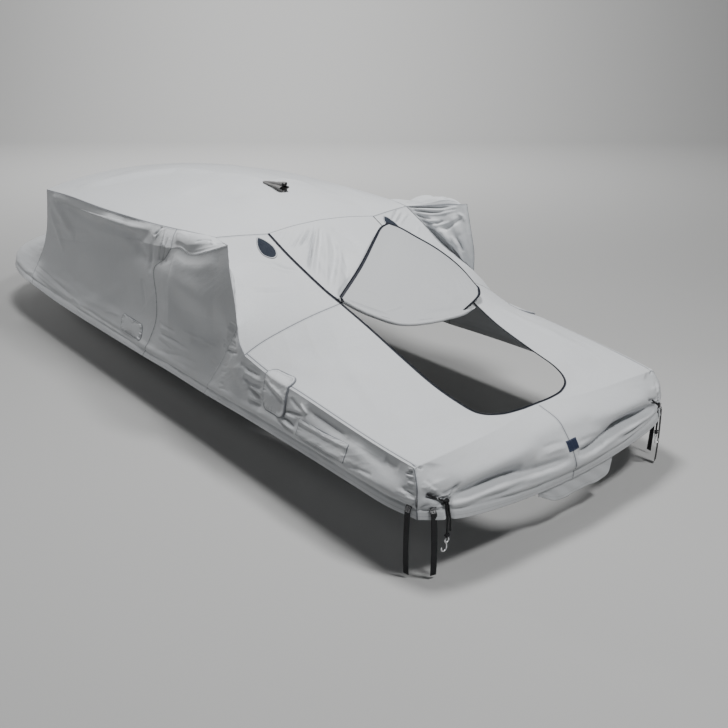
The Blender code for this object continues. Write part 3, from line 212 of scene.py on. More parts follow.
# Creases: the side (0 for both), width and height in mm, then places across and up the panel in thousandths.
creases = {
    "roof": (
        (0, 85, 34, ((70, 865), (212, 792), (332, 719), (432, 672), (497, 529))),
        (0, 70, 20, ((497, 529), (533, 427), (537, 314))),
        (0, 60, 16, ((552, 287), (658, 341), (766, 328))),
        (0, 60, -6, ((37, 898), (130, 785), (255, 688))),
        (0, 140, -16, ((268, 425), (313, 273), (438, 229))),
        (0, 30, -4, ((649, 238), (730, 170), (802, 141))),
        (0, 40, 6, ((1000, 560), (901, 281), (921, 157))),
    ),
    "frontWall": (
        (0, 36, 40, ((60, 955), (186, 945), (317, 930), (451, 915), (567, 905), (675, 890),
                    (757, 880), (830, 890), (885, 935))),
        (0, 50, -22, ((216, 870), (354, 830), (462, 803), (572, 818), (668, 790), (733, 742),
                    (812, 788), (877, 875))),
        (0, 150, -18, ((170, 788), (450, 684), (679, 696), (837, 812))),
        (0, 60, 12, ((14, 184), (237, 228), (364, 195), (544, 193))),
        (0, 12, -7, ((0, 166), (140, 154), (280, 130), (406, 103))),
        (0, 12, 6, ((1, 130), (147, 118), (283, 101), (396, 83))),
        (0, 13, -8, ((7, 88), (129, 77), (274, 67), (350, 60))),
        (0, 30, 7, ((20, 722), (238, 667), (407, 671))),
        (0, 14, -4, ((68, 554), (265, 548), (421, 589))),
        (0, 9, -13, ((929, 1000), (916, 915), (894, 835))),
        (0, 8, 10, ((933, 961), (920, 872), (906, 805))),
        (0, 10, -16, ((943, 952), (946, 762), (986, 573))),
        (0, 8, 12, ((955, 931), (955, 742), (987, 588))),
        (0, 9, -14, ((975, 848), (973, 689), (998, 579))),
        (0, 8, 9, ((982, 853), (979, 707), (992, 621))),
        (0, 30, -10, ((903, 816), (910, 637), (973, 471))),
        (0, 20, -11, ((62, 40), (229, 61), (360, 60), (472, 69))),
        (0, 17, -14, ((469, 75), (571, 76), (676, 71), (767, 68), (840, 64), (919, 61))),
        (0, 6, 6, ((391, 98), (428, 94), (467, 81))),
        (0, 6, 6, ((456, 42), (504, 27))),
        (0, 30, 8, ((115, 140), (252, 153), (359, 153), (438, 132))),
        (0, 30, 7, ((464, 131), (588, 149), (695, 161), (788, 161))),
        (0, 45, -9, ((328, 222), (469, 221), (612, 225), (715, 206), (789, 195))),
        (0, 10, 4, ((663, 130), (720, 153), (776, 155))),
        (0, 30, -6, ((912, 430), (913, 355), (924, 279))),
    ),
    "legPanel": (
        (0, 60, 12, ((130, 841), (375, 877), (619, 877), (863, 906))),
        (0, 170, -30, ((200, 440), (521, 430), (760, 410), (960, 390))),
        (0, 12, -4.2, ((50, 329), (207, 329), (327, 317))),
        (0, 12, 3.6, ((74, 296), (221, 296), (367, 290))),
        (0, 12, 3, ((369, 350), (545, 346), (716, 333), (911, 322))),
        (0, 14, -6, ((120, 251), (299, 258), (446, 247), (569, 241))),
        (0, 16, 4.2, ((106, 223), (281, 218), (441, 212), (629, 208))),
        (0, 11, -3, ((124, 189), (259, 185), (387, 168))),
        (0, 14, -3.6, ((178, 109), (346, 125), (528, 165), (664, 161), (791, 160))),
        (0, 14, 3, ((427, 113), (625, 125), (825, 117))),
        (0, 12, -3, ((658, 81), (813, 70), (954, 85), (1000, 99))),
    ),
    "skirt": (
        (0, 11, -10, ((3, 687), (52, 797), (85, 901))),
        (0, 18, -10, ((124, 845), (178, 859), (211, 877), (237, 905))),
        (0, 18, 6, ((156, 765), (206, 790), (249, 820))),
        (0, 18, -12, ((163, 680), (209, 669), (236, 685), (264, 750))),
        (0, 16, 8, ((210, 625), (250, 616), (283, 582))),
        (0, 14, -12, ((206, 570), (246, 558), (286, 528))),
        (0, 14, 6, ((223, 441), (264, 432), (292, 456))),
        (0, 14, -10, ((234, 344), (272, 376), (310, 388))),
        (0, 11, -12, ((419, 566), (449, 610), (479, 646), (510, 683))),
        (0, 10, 9, ((424, 508), (457, 524), (483, 539))),
        (0, 10, -11, ((422, 428), (456, 425), (493, 387))),
        (0, 10, 8, ((423, 370), (460, 339), (497, 316))),
        (0, 9, -10, ((413, 316), (454, 287), (504, 276))),
        (0, 9, 9, ((475, 863), (497, 814), (520, 754))),
        (0, 14, -9, ((418, 858), (454, 793), (492, 757))),
        (0, 22, -14, ((512, 830), (582, 840), (645, 839), (710, 828))),
        (0, 12, -11, ((516, 263), (588, 268), (661, 285), (727, 351))),
        (0, 22, -9, ((878, 849), (910, 821), (937, 855))),
        (0, 45, -20, ((500, 800), (600, 800), (720, 800), (850, 780), (960, 740))),
        (0, 50, -12, ((777, 640), (852, 620), (918, 610), (971, 640))),
        (0, 40, 10, ((300, 300), (500, 330), (700, 360), (950, 380))),
        (0, 12, -6, ((742, 364), (780, 370), (816, 394), (852, 420))),
        (0, 12, -5, ((742, 304), (775, 316), (803, 351))),
        (0, 10, -5, ((946, 486), (969, 501), (996, 463))),
        (0, 12, 6, ((934, 416), (965, 418), (996, 437))),
        (0, 12, -5, ((945, 310), (967, 290), (1000, 342))),
        (0, 14, 5, ((939, 346), (967, 324), (997, 368))),
        (0, 7, -6, ((981, 235), (1000, 360))),
    ),
    "deckPanel": (
        (0, 6, -14, ((6, 276), (16, 270), (28, 258), (48, 241))),
        (0, 10, -8, ((49, 190), (75, 162), (97, 136))),
        (0, 10, 12, ((38, 189), (65, 161), (94, 129))),
        (0, 10, 10, ((28, 169), (63, 145), (94, 124))),
        (0, 12, -22, ((49, 127), (84, 101), (113, 81), (134, 67))),
        (0, 9, 14, ((65, 126), (101, 99), (129, 79))),
        (0, 32, -52, ((156, 79), (226, 92), (318, 99), (433, 104), (550, 106), (643, 107))),
        (0, 26, -36, ((520, 98), (650, 89), (746, 84), (860, 78), (974, 72))),
        (0, 14, -6, ((330, 57), (475, 56), (626, 55), (821, 47))),
        (0, 5, -14, ((143, 82), (174, 107), (211, 130))),
        (0, 5, -14, ((66, 131), (92, 116), (129, 94))),
        (0, 5, -10, ((56, 157), (72, 138), (102, 121))),
        (0, 45, 14, ((200, 140), (400, 148), (600, 150), (800, 148))),
        (0, 8, 14, ((157, 82), (182, 103), (210, 120))),
        (0, 7, -14, ((173, 97), (199, 116), (224, 132))),
        (0, 8, -12, ((118, 117), (154, 116), (191, 125), (237, 139))),
        (0, 8, 7, ((115, 109), (153, 107), (189, 116))),
        (0, 18, -8, ((158, 38), (227, 44), (307, 49), (390, 50), (476, 50), (563, 56), (624, 60))),
        (0, 40, 12, ((161, 62), (257, 71), (396, 77), (541, 84))),
        (0, 14, -10, ((31, 111), (62, 118), (93, 105))),
        (0, 9, -9, ((85, 64), (112, 72), (135, 75))),
        (0, 9, -10, ((12, 59), (35, 73), (57, 77))),
        (0, 50, -10, ((109, 250), (99, 213), (109, 167))),
        (0, 30, -20, ((330, 102), (462, 107), (614, 105), (746, 105))),
        (0, 16, -6, ((295, 57), (390, 58), (496, 56), (597, 63), (686, 65))),
        (1, 34, -30, ((148, 60), (408, 98), (566, 101), (695, 91), (823, 75), (937, 69))),
        (1, 12, -9, ((592, 48), (488, 57), (282, 56), (145, 42))),
        (1, 12, -5, ((940, 104), (830, 106), (721, 102))),
        (1, 12, 5, ((952, 91), (833, 90), (742, 90))),
        (1, 10, -6, ((960, 82), (867, 77), (798, 78))),
        (1, 10, 6, ((736, 64), (706, 75), (655, 79))),
        (1, 10, -6, ((761, 60), (731, 73), (679, 79))),
        (-1, 12, -5, ((793, 135), (891, 131), (970, 121))),
        (-1, 12, 5, ((813, 113), (910, 110), (961, 104))),
        (-1, 12, -4, ((768, 108), (882, 101), (956, 93))),
    ),
    "hatchDown": (
        (0, 10, -10, ((324, 961), (187, 872), (68, 787))),
        (0, 12, 10, ((344, 956), (213, 859), (107, 777))),
        (0, 12, -14, ((368, 954), (253, 863), (147, 779))),
        (0, 12, 13, ((402, 960), (306, 870), (185, 761))),
        (0, 14, -21, ((427, 970), (341, 886), (236, 761), (134, 630), (44, 503))),
        (0, 15, 19, ((434, 959), (350, 863), (251, 746), (143, 605), (34, 458))),
        (0, 16, -18, ((443, 937), (364, 832), (276, 725), (165, 576), (52, 408))),
        (0, 22, 16, ((458, 903), (366, 764), (268, 622), (152, 442), (91, 329))),
        (0, 22, -18, ((478, 870), (423, 734), (313, 596), (189, 441), (58, 245))),
        (0, 22, 14, ((476, 779), (404, 655), (271, 488), (139, 309))),
        (0, 22, -14, ((457, 689), (399, 573), (324, 476), (200, 339))),
        (0, 14, -21, ((353, 486), (252, 389), (166, 294), (67, 152))),
        (0, 30, -13, ((537, 920), (604, 823), (633, 730))),
        (0, 8, 14, ((0, 114), (6, 57), (104, 179))),
    ),
    "hatchBack": (
        (0, 9, -11, ((0, 10), (100, 20), (220, 30), (360, 35))),
        (0, 12, 5, ((20, 55), (150, 65), (330, 70))),
        (0, 30, 7, ((600, 90), (780, 110), (950, 150))),
        (0, 7, -5, ((300, 40), (360, 100), (400, 160))),
        (0, 10, -4, ((60, 120), (130, 160), (200, 170))),
        (0, 10, 4, ((280, 780), (400, 760), (500, 770))),
        (0, 60, -8, ((450, 450), (700, 400), (850, 350))),
    ),
    "slopePanel": (
        (0, 12, -7, ((718, 692), (827, 591), (957, 513))),
        (0, 11, 5, ((656, 658), (792, 570), (937, 492))),
        (0, 14, -4, ((383, 756), (554, 725), (723, 645))),
        (0, 14, 4, ((321, 523), (524, 451), (729, 399))),
        (0, 14, -4, ((297, 482), (497, 410), (691, 351))),
        (1, 11, -12, ((296, 990), (516, 948), (704, 893))),
        (1, 10, 10, ((227, 972), (448, 929), (649, 875))),
        (1, 10, -10, ((297, 933), (515, 887), (670, 852))),
        (1, 12, 9, ((120, 935), (377, 887), (581, 838))),
        (1, 12, 5, ((151, 796), (292, 745), (424, 702))),
    ),
    "earBack": (
        (0, 12, -18, ((983, 1000), (763, 978), (537, 957), (249, 953))),
        (0, 12, 14, ((904, 952), (706, 950), (470, 936), (135, 962))),
        (0, 10, -14, ((955, 936), (814, 925), (670, 896), (453, 890))),
        (0, 12, 10, ((932, 895), (689, 873), (427, 879), (154, 920))),
        (0, 10, -14, ((974, 875), (871, 822), (731, 799))),
        (0, 10, 12, ((945, 838), (794, 778), (597, 772))),
        (0, 12, -17, ((977, 782), (849, 737), (655, 743), (506, 771))),
        (0, 12, 11, ((994, 725), (744, 708), (542, 727), (357, 755))),
        (0, 22, -26, ((997, 693), (911, 601), (901, 484), (954, 342))),
        (0, 18, 18, ((806, 666), (671, 620), (655, 536), (679, 433))),
        (0, 16, -18, ((692, 660), (538, 659), (273, 743), (126, 803))),
        (0, 14, 14, ((516, 559), (536, 430), (647, 282), (1000, 130))),
        (0, 14, -18, ((782, 432), (921, 282), (1000, 160))),
        (0, 12, -14, ((424, 540), (410, 424), (442, 309))),
        (0, 10, 10, ((194, 872), (116, 824), (97, 751))),
    ),
    "earTop": (
        (1, 85, 65, ((500, 550), (750, 330), (900, 160), (980, 80))),
        (0, 8, -10, ((580, 331), (808, 396), (814, 275))),
        (0, 8, -10, ((843, 250), (871, 250), (1000, 325))),
        (0, 8, -12, ((871, 250), (1000, 225), (1000, 50))),
        (0, 10, 6, ((800, 350), (829, 250), (1000, 200))),
    ),
}

# Fans of small pleats: the side, how many, width, height, then the first and last heads and the first and
# last tails, in the same measures.
fans = {
    "frontWall": ((0, 22, 7, -4, ((79, 975), (861, 976), (109, 938), (854, 864))),),
    "legPanel": (
        (0, 9, 8, -5, ((988, 239), (1000, 0), (871, 253), (1000, 25))),
        (0, 10, 7, -8, ((999, 526), (989, 347), (941, 546), (904, 363))),
    ),
    "skirt": (
        (0, 8, 7, -8, ((0, 1000), (8, 709), (37, 1000), (64, 867))),
        (0, 8, 8, -4, ((0, 540), (80, 49), (49, 651), (124, 112))),
        (0, 13, 6.5, -8, ((995, 971), (997, 400), (972, 917), (955, 380))),
    ),
    "deckPanel": ((1, 5, 8, -12, ((101, 79), (41, 0), (255, 128), (266, 81))),),
    "hatchDown": ((0, 6, 8, -6, ((64, 983), (330, 968), (27, 932), (61, 775))),),
    "slopePanel": ((0, 9, 8, -6, ((985, 441), (991, 94), (860, 410), (896, 72))),),
}


bothSides = (("port", -1), ("starboard", 1))


def perThousand(values):
    return tuple(perThousand(value) if isinstance(value, tuple) else value / 1000 for value in values)


creases = {name: [(side, *perThousand(rest)) for side, *rest in rows] for name, rows in creases.items()}
fans = {name: [(side, count, *perThousand(rest)) for side, count, *rest in rows]
        for name, rows in fans.items()}


def evenLine(line, count):
    run = np.concatenate([[0], np.cumsum(np.linalg.norm(np.diff(line, axis=0), axis=1))])
    goals = np.linspace(0, run[-1], count + 1)
    return np.column_stack([np.interp(goals, run, line[:, k]) for k in range(3)])


def smoothLine(rows, count):
    # a smooth curve through all the places given
    points = np.array(rows, float)
    ends = np.vstack([2 * points[0] - points[1], points, 2 * points[-1] - points[-2]])
    t = np.linspace(0, 1, 40, endpoint=False)[:, None]
    parts = []
    for a, b, c, d in zip(ends, ends[1:], ends[2:], ends[3:]):
        bent = (2 * a - 5 * b + 4 * c - d) * t**2 + (3 * b - a - 3 * c + d) * t**3
        parts.append(0.5 * (2 * b + (c - a) * t + bent))
    return evenLine(np.vstack(parts + [points[-1:]]), count)


def seam(name, side, count, turned=False):
    line = smoothLine(seams[name], count * fine) * (side, 1, 1)
    if side > 0 and name in drawnInboard:
        line[:, 0] -= drawnInboard[name] * np.sin(np.linspace(0, np.pi, len(line)))
    return line[::-1] if turned else line


def chain(*lines):
    return np.vstack([lines[0]] + [line[1:] for line in lines[1:]])


def patch(bottom, top, left, right):
    # a sheet stretched between its four edges
    u = np.linspace(0, 1, len(bottom))[None, :, None]
    v = np.linspace(0, 1, len(left))[:, None, None]
    corners = (1 - u) * (1 - v) * bottom[0] + u * (1 - v) * bottom[-1]
    corners = corners + (1 - u) * v * top[0] + u * v * top[-1]
    return (1 - v) * bottom[None] + v * top[None] + (1 - u) * left[:, None] + u * right[:, None] - corners


def withSpine(grid, spine):
    middle = (grid.shape[1] - 1) // 2
    rise = (spine - grid[:, middle])[:, None]
    fade = 1 - (np.arange(grid.shape[1]) / middle - 1) ** 2
    return grid + fade[None, :, None] * rise


def unit(vectors):
    return vectors / np.maximum(np.linalg.norm(vectors, axis=-1, keepdims=True), 1e-9)


def facing(grid):
    return unit(np.cross(np.gradient(grid, axis=1), np.gradient(grid, axis=0)))


def spot(grid, u, v):
    # the place at these shares across and up a sheet
    j = np.asarray(v) * (grid.shape[0] - 1)
    i = np.asarray(u) * (grid.shape[1] - 1)
    j0 = np.clip(j.astype(int), 0, grid.shape[0] - 2)
    i0 = np.clip(i.astype(int), 0, grid.shape[1] - 2)
    a, b = (i - i0)[..., None], (j - j0)[..., None]
    low = grid[j0, i0] * (1 - a) + grid[j0, i0 + 1] * a
    high = grid[j0 + 1, i0] * (1 - a) + grid[j0 + 1, i0 + 1] * a
    return low * (1 - b) + high * b


def bell(value, middle, width):
    return np.exp(-(((value - middle) / width) ** 2))


def eased(share):
    return share * share * (3 - 2 * share)


def lattice(x, y, seed):
    # smooth noise between -1 and 1
    table = np.random.RandomState(seed).rand(64, 64)
    i, j = np.floor(x).astype(int), np.floor(y).astype(int)
    a, b = eased(x - i), eased(y - j)
    low = table[j % 64, i % 64] * (1 - a) + table[j % 64, (i + 1) % 64] * a
    high = table[(j + 1) % 64, i % 64] * (1 - a) + table[(j + 1) % 64, (i + 1) % 64] * a
    return 2 * (low * (1 - b) + high * b) - 1


def creaseHeight(grid, points, width, height):
    # a soft ridge or trough along a line on the cloth, which dies away at both ends
    best = np.full(grid.shape[:2], 9.0)
    along = np.zeros(grid.shape[:2])
    lengths = [np.linalg.norm(b - a) for a, b in zip(points, points[1:])]
    total, before = sum(lengths), 0.0
    for a, b, length in zip(points, points[1:], lengths):
        share = np.clip(((grid - a) @ (b - a)) / max(length**2, 1e-9), 0, 1)
        off = np.linalg.norm(grid - a - share[..., None] * (b - a), axis=-1)
        closer = off < best
        best = np.where(closer, off, best)
        along = np.where(closer, (before + share * length) / total, along)
        before += length
    return height * (1 - (2 * along - 1) ** 4) * bell(best, 0, width)


def unevenness(grid):
    x, y, z = grid[..., 0], grid[..., 1], grid[..., 2]
    return 0.003 * (np.sin(5.1 * y + 2.3 * x + 0.7) + 0.6 * np.sin(9.7 * z - 3.9 * y + 1.9)
                    + 0.5 * np.sin(11.3 * x + 4.1 * z - 2.2 * y))


def draped(grid, name, side):
    if side > 0:
        grid = grid[:, ::-1]
    up, across = grid.shape[0] - 1, grid.shape[1] - 1
    crown = np.outer(np.sin(np.pi * np.arange(up + 1) / up), np.sin(np.pi * np.arange(across + 1) / across))
    lift = belly.get(name, 0.0) * crown + unevenness(grid)
    for forSide, *row in folds.get(name, ()):
        if forSide in (side, 0):
            u1, v1, u2, v2, width, height = perThousand(row)
            u1, u2 = (1 - u1, 1 - u2) if side > 0 else (u1, u2)
            ends = [spot(grid, np.float64(u1), np.float64(v1)), spot(grid, np.float64(u2), np.float64(v2))]
            lift += creaseHeight(grid, ends, width, height)
    toLeft, toRight = (np.linalg.norm(grid - grid[:, end : end + 1 or None], axis=-1) for end in (0, -1))
    reach = 0.3 * np.minimum(toLeft, toRight)
    edge = np.ones_like(lift)
    for axis, count in ((0, up), (1, across)):
        near = np.minimum(np.arange(count + 1), count - np.arange(count + 1)) / fine
        edge *= np.clip(near, 0, 1)[:, None] if axis == 0 else np.clip(near, 0, 1)[None]
    lift = np.clip(lift, -reach, reach) * edge
    return grid + lift[..., None] * facing(grid)


def halfPanels(side):
    n = steps
    leg = n["legFoot"] + n["upright"]
    rise = leg + n["lip"]
    legFront, legBack = seam("legFront", side, leg), seam("legBack", side, n["legFoot"])
    earBack = seam("earBack", side, n["upright"])
    earLip = seam("earLip", side, n["lip"], turned=True)
    earOutside = seam("earOutside", side, n["ear"])
    gusset = seam("earGusset", side, n["lip"])
    valley = seam("earValley", side, n["upright"], turned=True)
    notch = seam("notch", side, n["notch"])
    foot, roll = seam("slopeFoot", side, n["slope"]), seam("sternRoll", side, n["slope"])
    corner, sternCentre = seam("corner", side, n["legFoot"]), seam("sternCentre", side, n["legFoot"])
    sideHem = seam("sideHem", side, n["notch"] + n["deck"])
    deckEdge = seam("deckEdge", side, n["deck"])
    grids = {
        "frontWall": patch(seam("frontHem", side, n["frontWall"]), seam("roofEdge", side, n["frontWall"]),
                           seam("bowCorner", side, rise), chain(legFront, gusset)),
        "legPanel": patch(seam("legHem", side, n["ear"]), earOutside, legFront, chain(legBack, earBack)),
        "earTop": patch(earOutside, seam("earRoot", side, n["ear"]), gusset, earLip),
        "earBack": patch(np.repeat(earBack[:1], len(earLip), axis=0), earLip, earBack, valley),
        "slopePanel": patch(foot, seam("slopeHead", side, n["slope"]), chain(notch[::-1], valley),
                            seam("hatchSide", side, n["notch"] + n["upright"], turned=True)),
        "skirt": patch(sideHem, chain(notch, deckEdge), legBack, corner),
        "deckPanel": patch(roll, foot, deckEdge[::-1], seam("hatchRim", side, n["deck"], turned=True)),
        "sternPanel": patch(seam("sternHem", side, n["slope"]), roll, corner, sternCentre),
    }
    return {name: draped(grid, name, side) for name, grid in grids.items()}


def whole(name, count):
    return chain(seam(name, -1, count), seam(name, 1, count, turned=True))


def middlePanels():
    n = steps
    rise = n["legFoot"] + n["upright"] + n["lip"]
    head = chain(seam("slopeHead", -1, n["slope"]), whole("hatchHead", n["hatch"]),
                 seam("slopeHead", 1, n["slope"], turned=True))
    edge = {side: chain(seam("earRoot", side, n["ear"], turned=True),
                        seam("roofEdge", side, n["frontWall"], turned=True)) for side in (-1, 1)}
    front = whole("roofFront", n["slope"] + n["hatch"])
    ridge = seam("roofRidge", 1, n["ear"] + n["frontWall"], turned=True)
    roof = withSpine(patch(head, front, edge[-1], edge[1]), ridge)
    hem = whole("bowHem", n["slope"] + n["hatch"])
    bow = patch(hem[::-1], front[::-1], seam("bowCorner", 1, rise), seam("bowCorner", -1, rise))
    bow = withSpine(bow, seam("bowCentre", 1, rise))
    return {"roof": draped(roof, "roof", 0), "bowPanel": draped(bow, "bowPanel", 0)}


hatchLooks = {
    "inset": 0.018,  # from each zip
    "bendRadius": 0.019,
    "drawnIn": 0.145,  # the turned-up part is that much narrower at the fold
}


def hatchGrid():
    # down from the roof seam to the fold, round it, and back up over itself
    n = steps
    inset = np.array((hatchLooks["inset"], 0, 0))
    head = whole("hatchHead", n["hatch"])
    head[0] += inset
    head[-1] -= inset
    fold = smoothLine(hatchFold, 2 * n["hatch"] * fine)
    down = n["notch"] + n["upright"]
    port = seam("hatchSide", -1, down, turned=True) + inset
    rim = seam("hatchRim", 1, n["deck"])[: n["hatchOpenStarboard"] * fine + 7]
    starboard = evenLine(chain(seam("hatchSide", 1, down), rim) - inset, down * fine)[::-1]
    fold[0], fold[-1] = port[0], starboard[0]
    port[-1], starboard[-1] = head[0], head[-1]
    under = draped(patch(fold, head, port, starboard), "hatchDown", 0)
    upward = unit(np.array((0, 0.35, 1.0)))
    places = np.arange(len(fold))
    bend = []
    for turn in np.linspace(0, np.pi, n["bend"] * fine)[1:]:
        kept = places * (1 - hatchLooks["drawnIn"] * turn / np.pi)
        line = np.column_stack([np.interp(kept, places, fold[:, k]) for k in range(3)])
        turned = np.sin(turn) * np.array((0, -1, 0)) + (1 - np.cos(turn)) * upward
        bend.append(line + hatchLooks["bendRadius"] * turned)
    bend = np.array(bend)
    end = smoothLine(hatchEnd, 2 * n["hatch"] * fine)
    back = patch(bend[-1], end,
                 smoothLine((bend[-1][0], *hatchPortEdge, end[0]), n["hatchBack"] * fine),
                 smoothLine((bend[-1][-1], *hatchStarboardEdge, end[-1]), n["hatchBack"] * fine))
    return under, bend, back


class Wire:  # a socket that takes part in sums
    def __init__(self, tree, socket):
        self.tree, self.socket = tree, socket

    def sum(self, operation, *values):
        return addNode(self.tree, "ShaderNodeMath", {"operation": operation}, dict(enumerate(values)))

    def __add__(self, other):
        return self.sum("ADD", self, other)

    __radd__ = __add__

    def __sub__(self, other):
        return self.sum("SUBTRACT", self, other)

    def __rsub__(self, other):
        return self.sum("SUBTRACT", other, self)

    def __mul__(self, other):
        return self.sum("MULTIPLY", self, other)

    __rmul__ = __mul__

    def __truediv__(self, other):
        return self.sum("DIVIDE", self, other)

    def __gt__(self, other):
        return self.sum("GREATER_THAN", self, other)

    def __lt__(self, other):
        return self.sum("LESS_THAN", self, other)

    def __abs__(self):
        return self.sum("ABSOLUTE", self)

    def sine(self):
        return self.sum("SINE", self)

    def near(self, place, width):  # 1 at a place, falling to 0 a width away
        away = abs(self - place) / width
        return self.sum("SMOOTH_MIN", self.sum("MAXIMUM", 1 - away, 0), 1, 0.1)


def addNode(tree, kind, settings=None, inputs=None, output=0):
    node = tree.nodes.new(kind)
    for key, value in (settings or {}).items():
        if key == "stops":
            ramp = node.color_ramp
            while len(ramp.elements) < len(value):
                ramp.elements.new(0.5)
            for element, (place, shade) in zip(ramp.elements, value):
                element.position = place
                element.color = (shade, shade, shade, 1)
        else:
            setattr(node, key, value)
    for key, value in (inputs or {}).items():
        target = node.inputs[key]
        if isinstance(value, Wire):
            tree.links.new(value.socket, target)
        else:
            target.default_value = value
    return Wire(tree, node.outputs[output])


def mixColours(tree, factor, first, second):
    first, second = (shade if isinstance(shade, Wire) else (*shade, 1) for shade in (first, second))
    settings = {"data_type": "RGBA", "blend_type": "MIX"}
    return addNode(tree, "ShaderNodeMix", settings, {0: factor, 6: first, 7: second}, output=2)


def attribute(tree, name):
    return addNode(tree, "ShaderNodeAttribute", {"attribute_name": name}, output=2)


def finish(name, paint):
    made = bpy.data.materials.new(name)
    made.use_nodes = True
    tree = made.node_tree
    tree.nodes.clear()
    looks = paint(tree)
    if not isinstance(looks["Base Color"], Wire):
        looks = {**looks, "Base Color": (*looks["Base Color"], 1)}
    shader = addNode(tree, "ShaderNodeBsdfPrincipled", None, looks)
    out = tree.nodes.new("ShaderNodeOutputMaterial")
    tree.links.new(shader.socket, out.inputs[0])
    return made


canvas = {
    "colour": (0.60, 0.615, 0.63),
    "shade": (0.47, 0.485, 0.50),
    # painted shade colour that the narrow creases are darkened towards
    "deep": (0.20, 0.21, 0.225),
    "inside": (0.40, 0.41, 0.42),
    "dust": (0.55, 0.54, 0.52),
    "seam": (0.13, 0.14, 0.16),
    # painted shadow colour of the needle holes in the stitch rows
    "thread": (0.22, 0.23, 0.25),
    "stitch": 0.0075,
    "weave": 0.0011,  # pitch of its yarns
    "roughness": 0.60,
}
weathered = {
    "colour": (0.20, 0.195, 0.19),
    "shade": (0.11, 0.11, 0.11),
    # painted shade colour for the sock's narrow creases
    "deep": (0.05, 0.05, 0.05),
    "dust": (0.30, 0.29, 0.27),
}
sewn = {  # rows of stitches, by how far in from the seam or the hem they run
    "first": 0.0045,
    "second": 0.0115,
    "hem": 0.024,
    "thread": 0.0012,
    "groove": 0.0026,
    "hemGroove": 0.0030,
    "seamShadeLine": 0.0040,
    "hemShadeLine": 0.0012,
    "weltHeight": 0.0014,
    "weltWidth": 0.0155,
    "hemHeight": 0.0012,
    "hemWidth": 0.030,
    "pucker": 0.0016,
}
gather = {  # the hem's drawstring pulls a trough and a roll: height, way in from the hem, width
    "roll": (0.0095, 0.102, 0.032),
    "trough": (-0.0105, 0.062, 0.010),
}


def woven(tree, pitch):
    # crossing yarns, from the cloth's own flat measure
    flat = addNode(tree, "ShaderNodeUVMap", {"uv_map": "cloth"})
    parts = addNode(tree, "ShaderNodeSeparateXYZ", None, {0: flat})
    across, along = (Wire(tree, output) for output in parts.socket.node.outputs[:2])
    turn = 2 * math.pi / pitch
    return (across * turn).sine() * (along * turn).sine()


def mottle(tree, scale, detail, roughness=0.5, distortion=0.0):
    place = addNode(tree, "ShaderNodeNewGeometry", None, None)
    values = {"Vector": place, "Scale": scale, "Detail": detail, "Roughness": roughness}
    return addNode(tree, "ShaderNodeTexNoise", None, {**values, "Distortion": distortion})


def bumped(tree, strength, distance, height):
    values = {"Strength": strength, "Distance": distance, "Height": height}
    return addNode(tree, "ShaderNodeBump", None, values)


def dashes(run, pitch):
    return (run * (2 * math.pi / pitch)).sine() > -0.35


def canvasFinish(tree, canvas=canvas):
    weave = woven(tree, canvas["weave"])
    cloudy = mottle(tree, 1.7, 3.0, 0.6)
    marks = mottle(tree, 9.0, 5.0, 0.65)
    small = mottle(tree, 30.0, 4.0, 0.55, 0.8)
    colour = mixColours(tree, cloudy * 0.50, canvas["colour"], canvas["shade"])
    dusty = addNode(tree, "ShaderNodeValToRGB", {"stops": ((0.50, 0.0), (0.74, 1.0))}, {0: marks})
    colour = mixColours(tree, dusty * 0.22, colour, canvas["dust"])
    colour = mixColours(tree, attribute(tree, "inner") * 0.8, colour, canvas["inside"])
    hollow = attribute(tree, "hollow")  # painted shade darkens the narrow creases, the hem's gather trough and the patch pleats
    colour = mixColours(tree, hollow * hollow * 0.55, colour, canvas["deep"])
    welt, weltRun = abs(attribute(tree, "weltAway")), attribute(tree, "weltRun")
    hem, hemRun = attribute(tree, "hemAway"), attribute(tree, "hemRun")
    rows = welt.near(sewn["first"], sewn["thread"]) + welt.near(sewn["second"], sewn["thread"])
    hemRow = hem.near(sewn["hem"], sewn["thread"]) * dashes(hemRun, canvas["stitch"])
    threads = rows * dashes(weltRun, canvas["stitch"]) + hemRow
    grooves = welt.near(sewn["first"], sewn["groove"]) + welt.near(sewn["second"], sewn["groove"])
    grooves = grooves + hem.near(sewn["hem"], sewn["hemGroove"])
    line = (welt < sewn["seamShadeLine"]) + (hem < sewn["hemShadeLine"])
    # the bands along the stitch rows are painted darker as shade in their grooves
    colour = mixColours(tree, grooves * 0.75, colour, canvas["shade"])
    # the stitch dashes are painted dark as shadow in the needle holes
    colour = mixColours(tree, threads * 0.75, colour, canvas["thread"])
    # a dark line is painted along each seam and hem edge as shade in the join
    colour = mixColours(tree, line * 0.85, colour, canvas["seam"])
    height = small * 0.0014 + weave * 0.00009 - grooves * 0.0008 + threads * 0.0006
    return {
        "Base Color": colour,
        "Roughness": cloudy * 0.12 + (canvas["roughness"] - 0.06),
        "Normal": bumped(tree, 0.9, 1.0, height),
        "Sheen Weight": 0.15,
        "Sheen Roughness": 0.45,
        "Specular IOR Level": 0.35,
    }


def darkFinish(colour, roughness, pitch, depth, stitches=None, row=0.0016):
    def paint(tree):
        weave = woven(tree, pitch)
        cloudy = mottle(tree, 40.0, 3.0)
        lighter = tuple(1.8 * c + 0.003 for c in colour)
        shade = mixColours(tree, (weave + 1) * 0.25 + cloudy * 0.3, colour, lighter)
        height = weave * depth
        if stitches:
            run = attribute(tree, "weltRun")
            threads = attribute(tree, "weltAway").near(0.004, row) * dashes(run, 0.005)
            shade = mixColours(tree, threads, shade, stitches)
            height = height + threads * 0.0004
        bump = bumped(tree, 1.0, 1.0, height)
        return {"Base Color": shade, "Roughness": roughness, "Normal": bump, "Specular IOR Level": 0.4}
    return paint


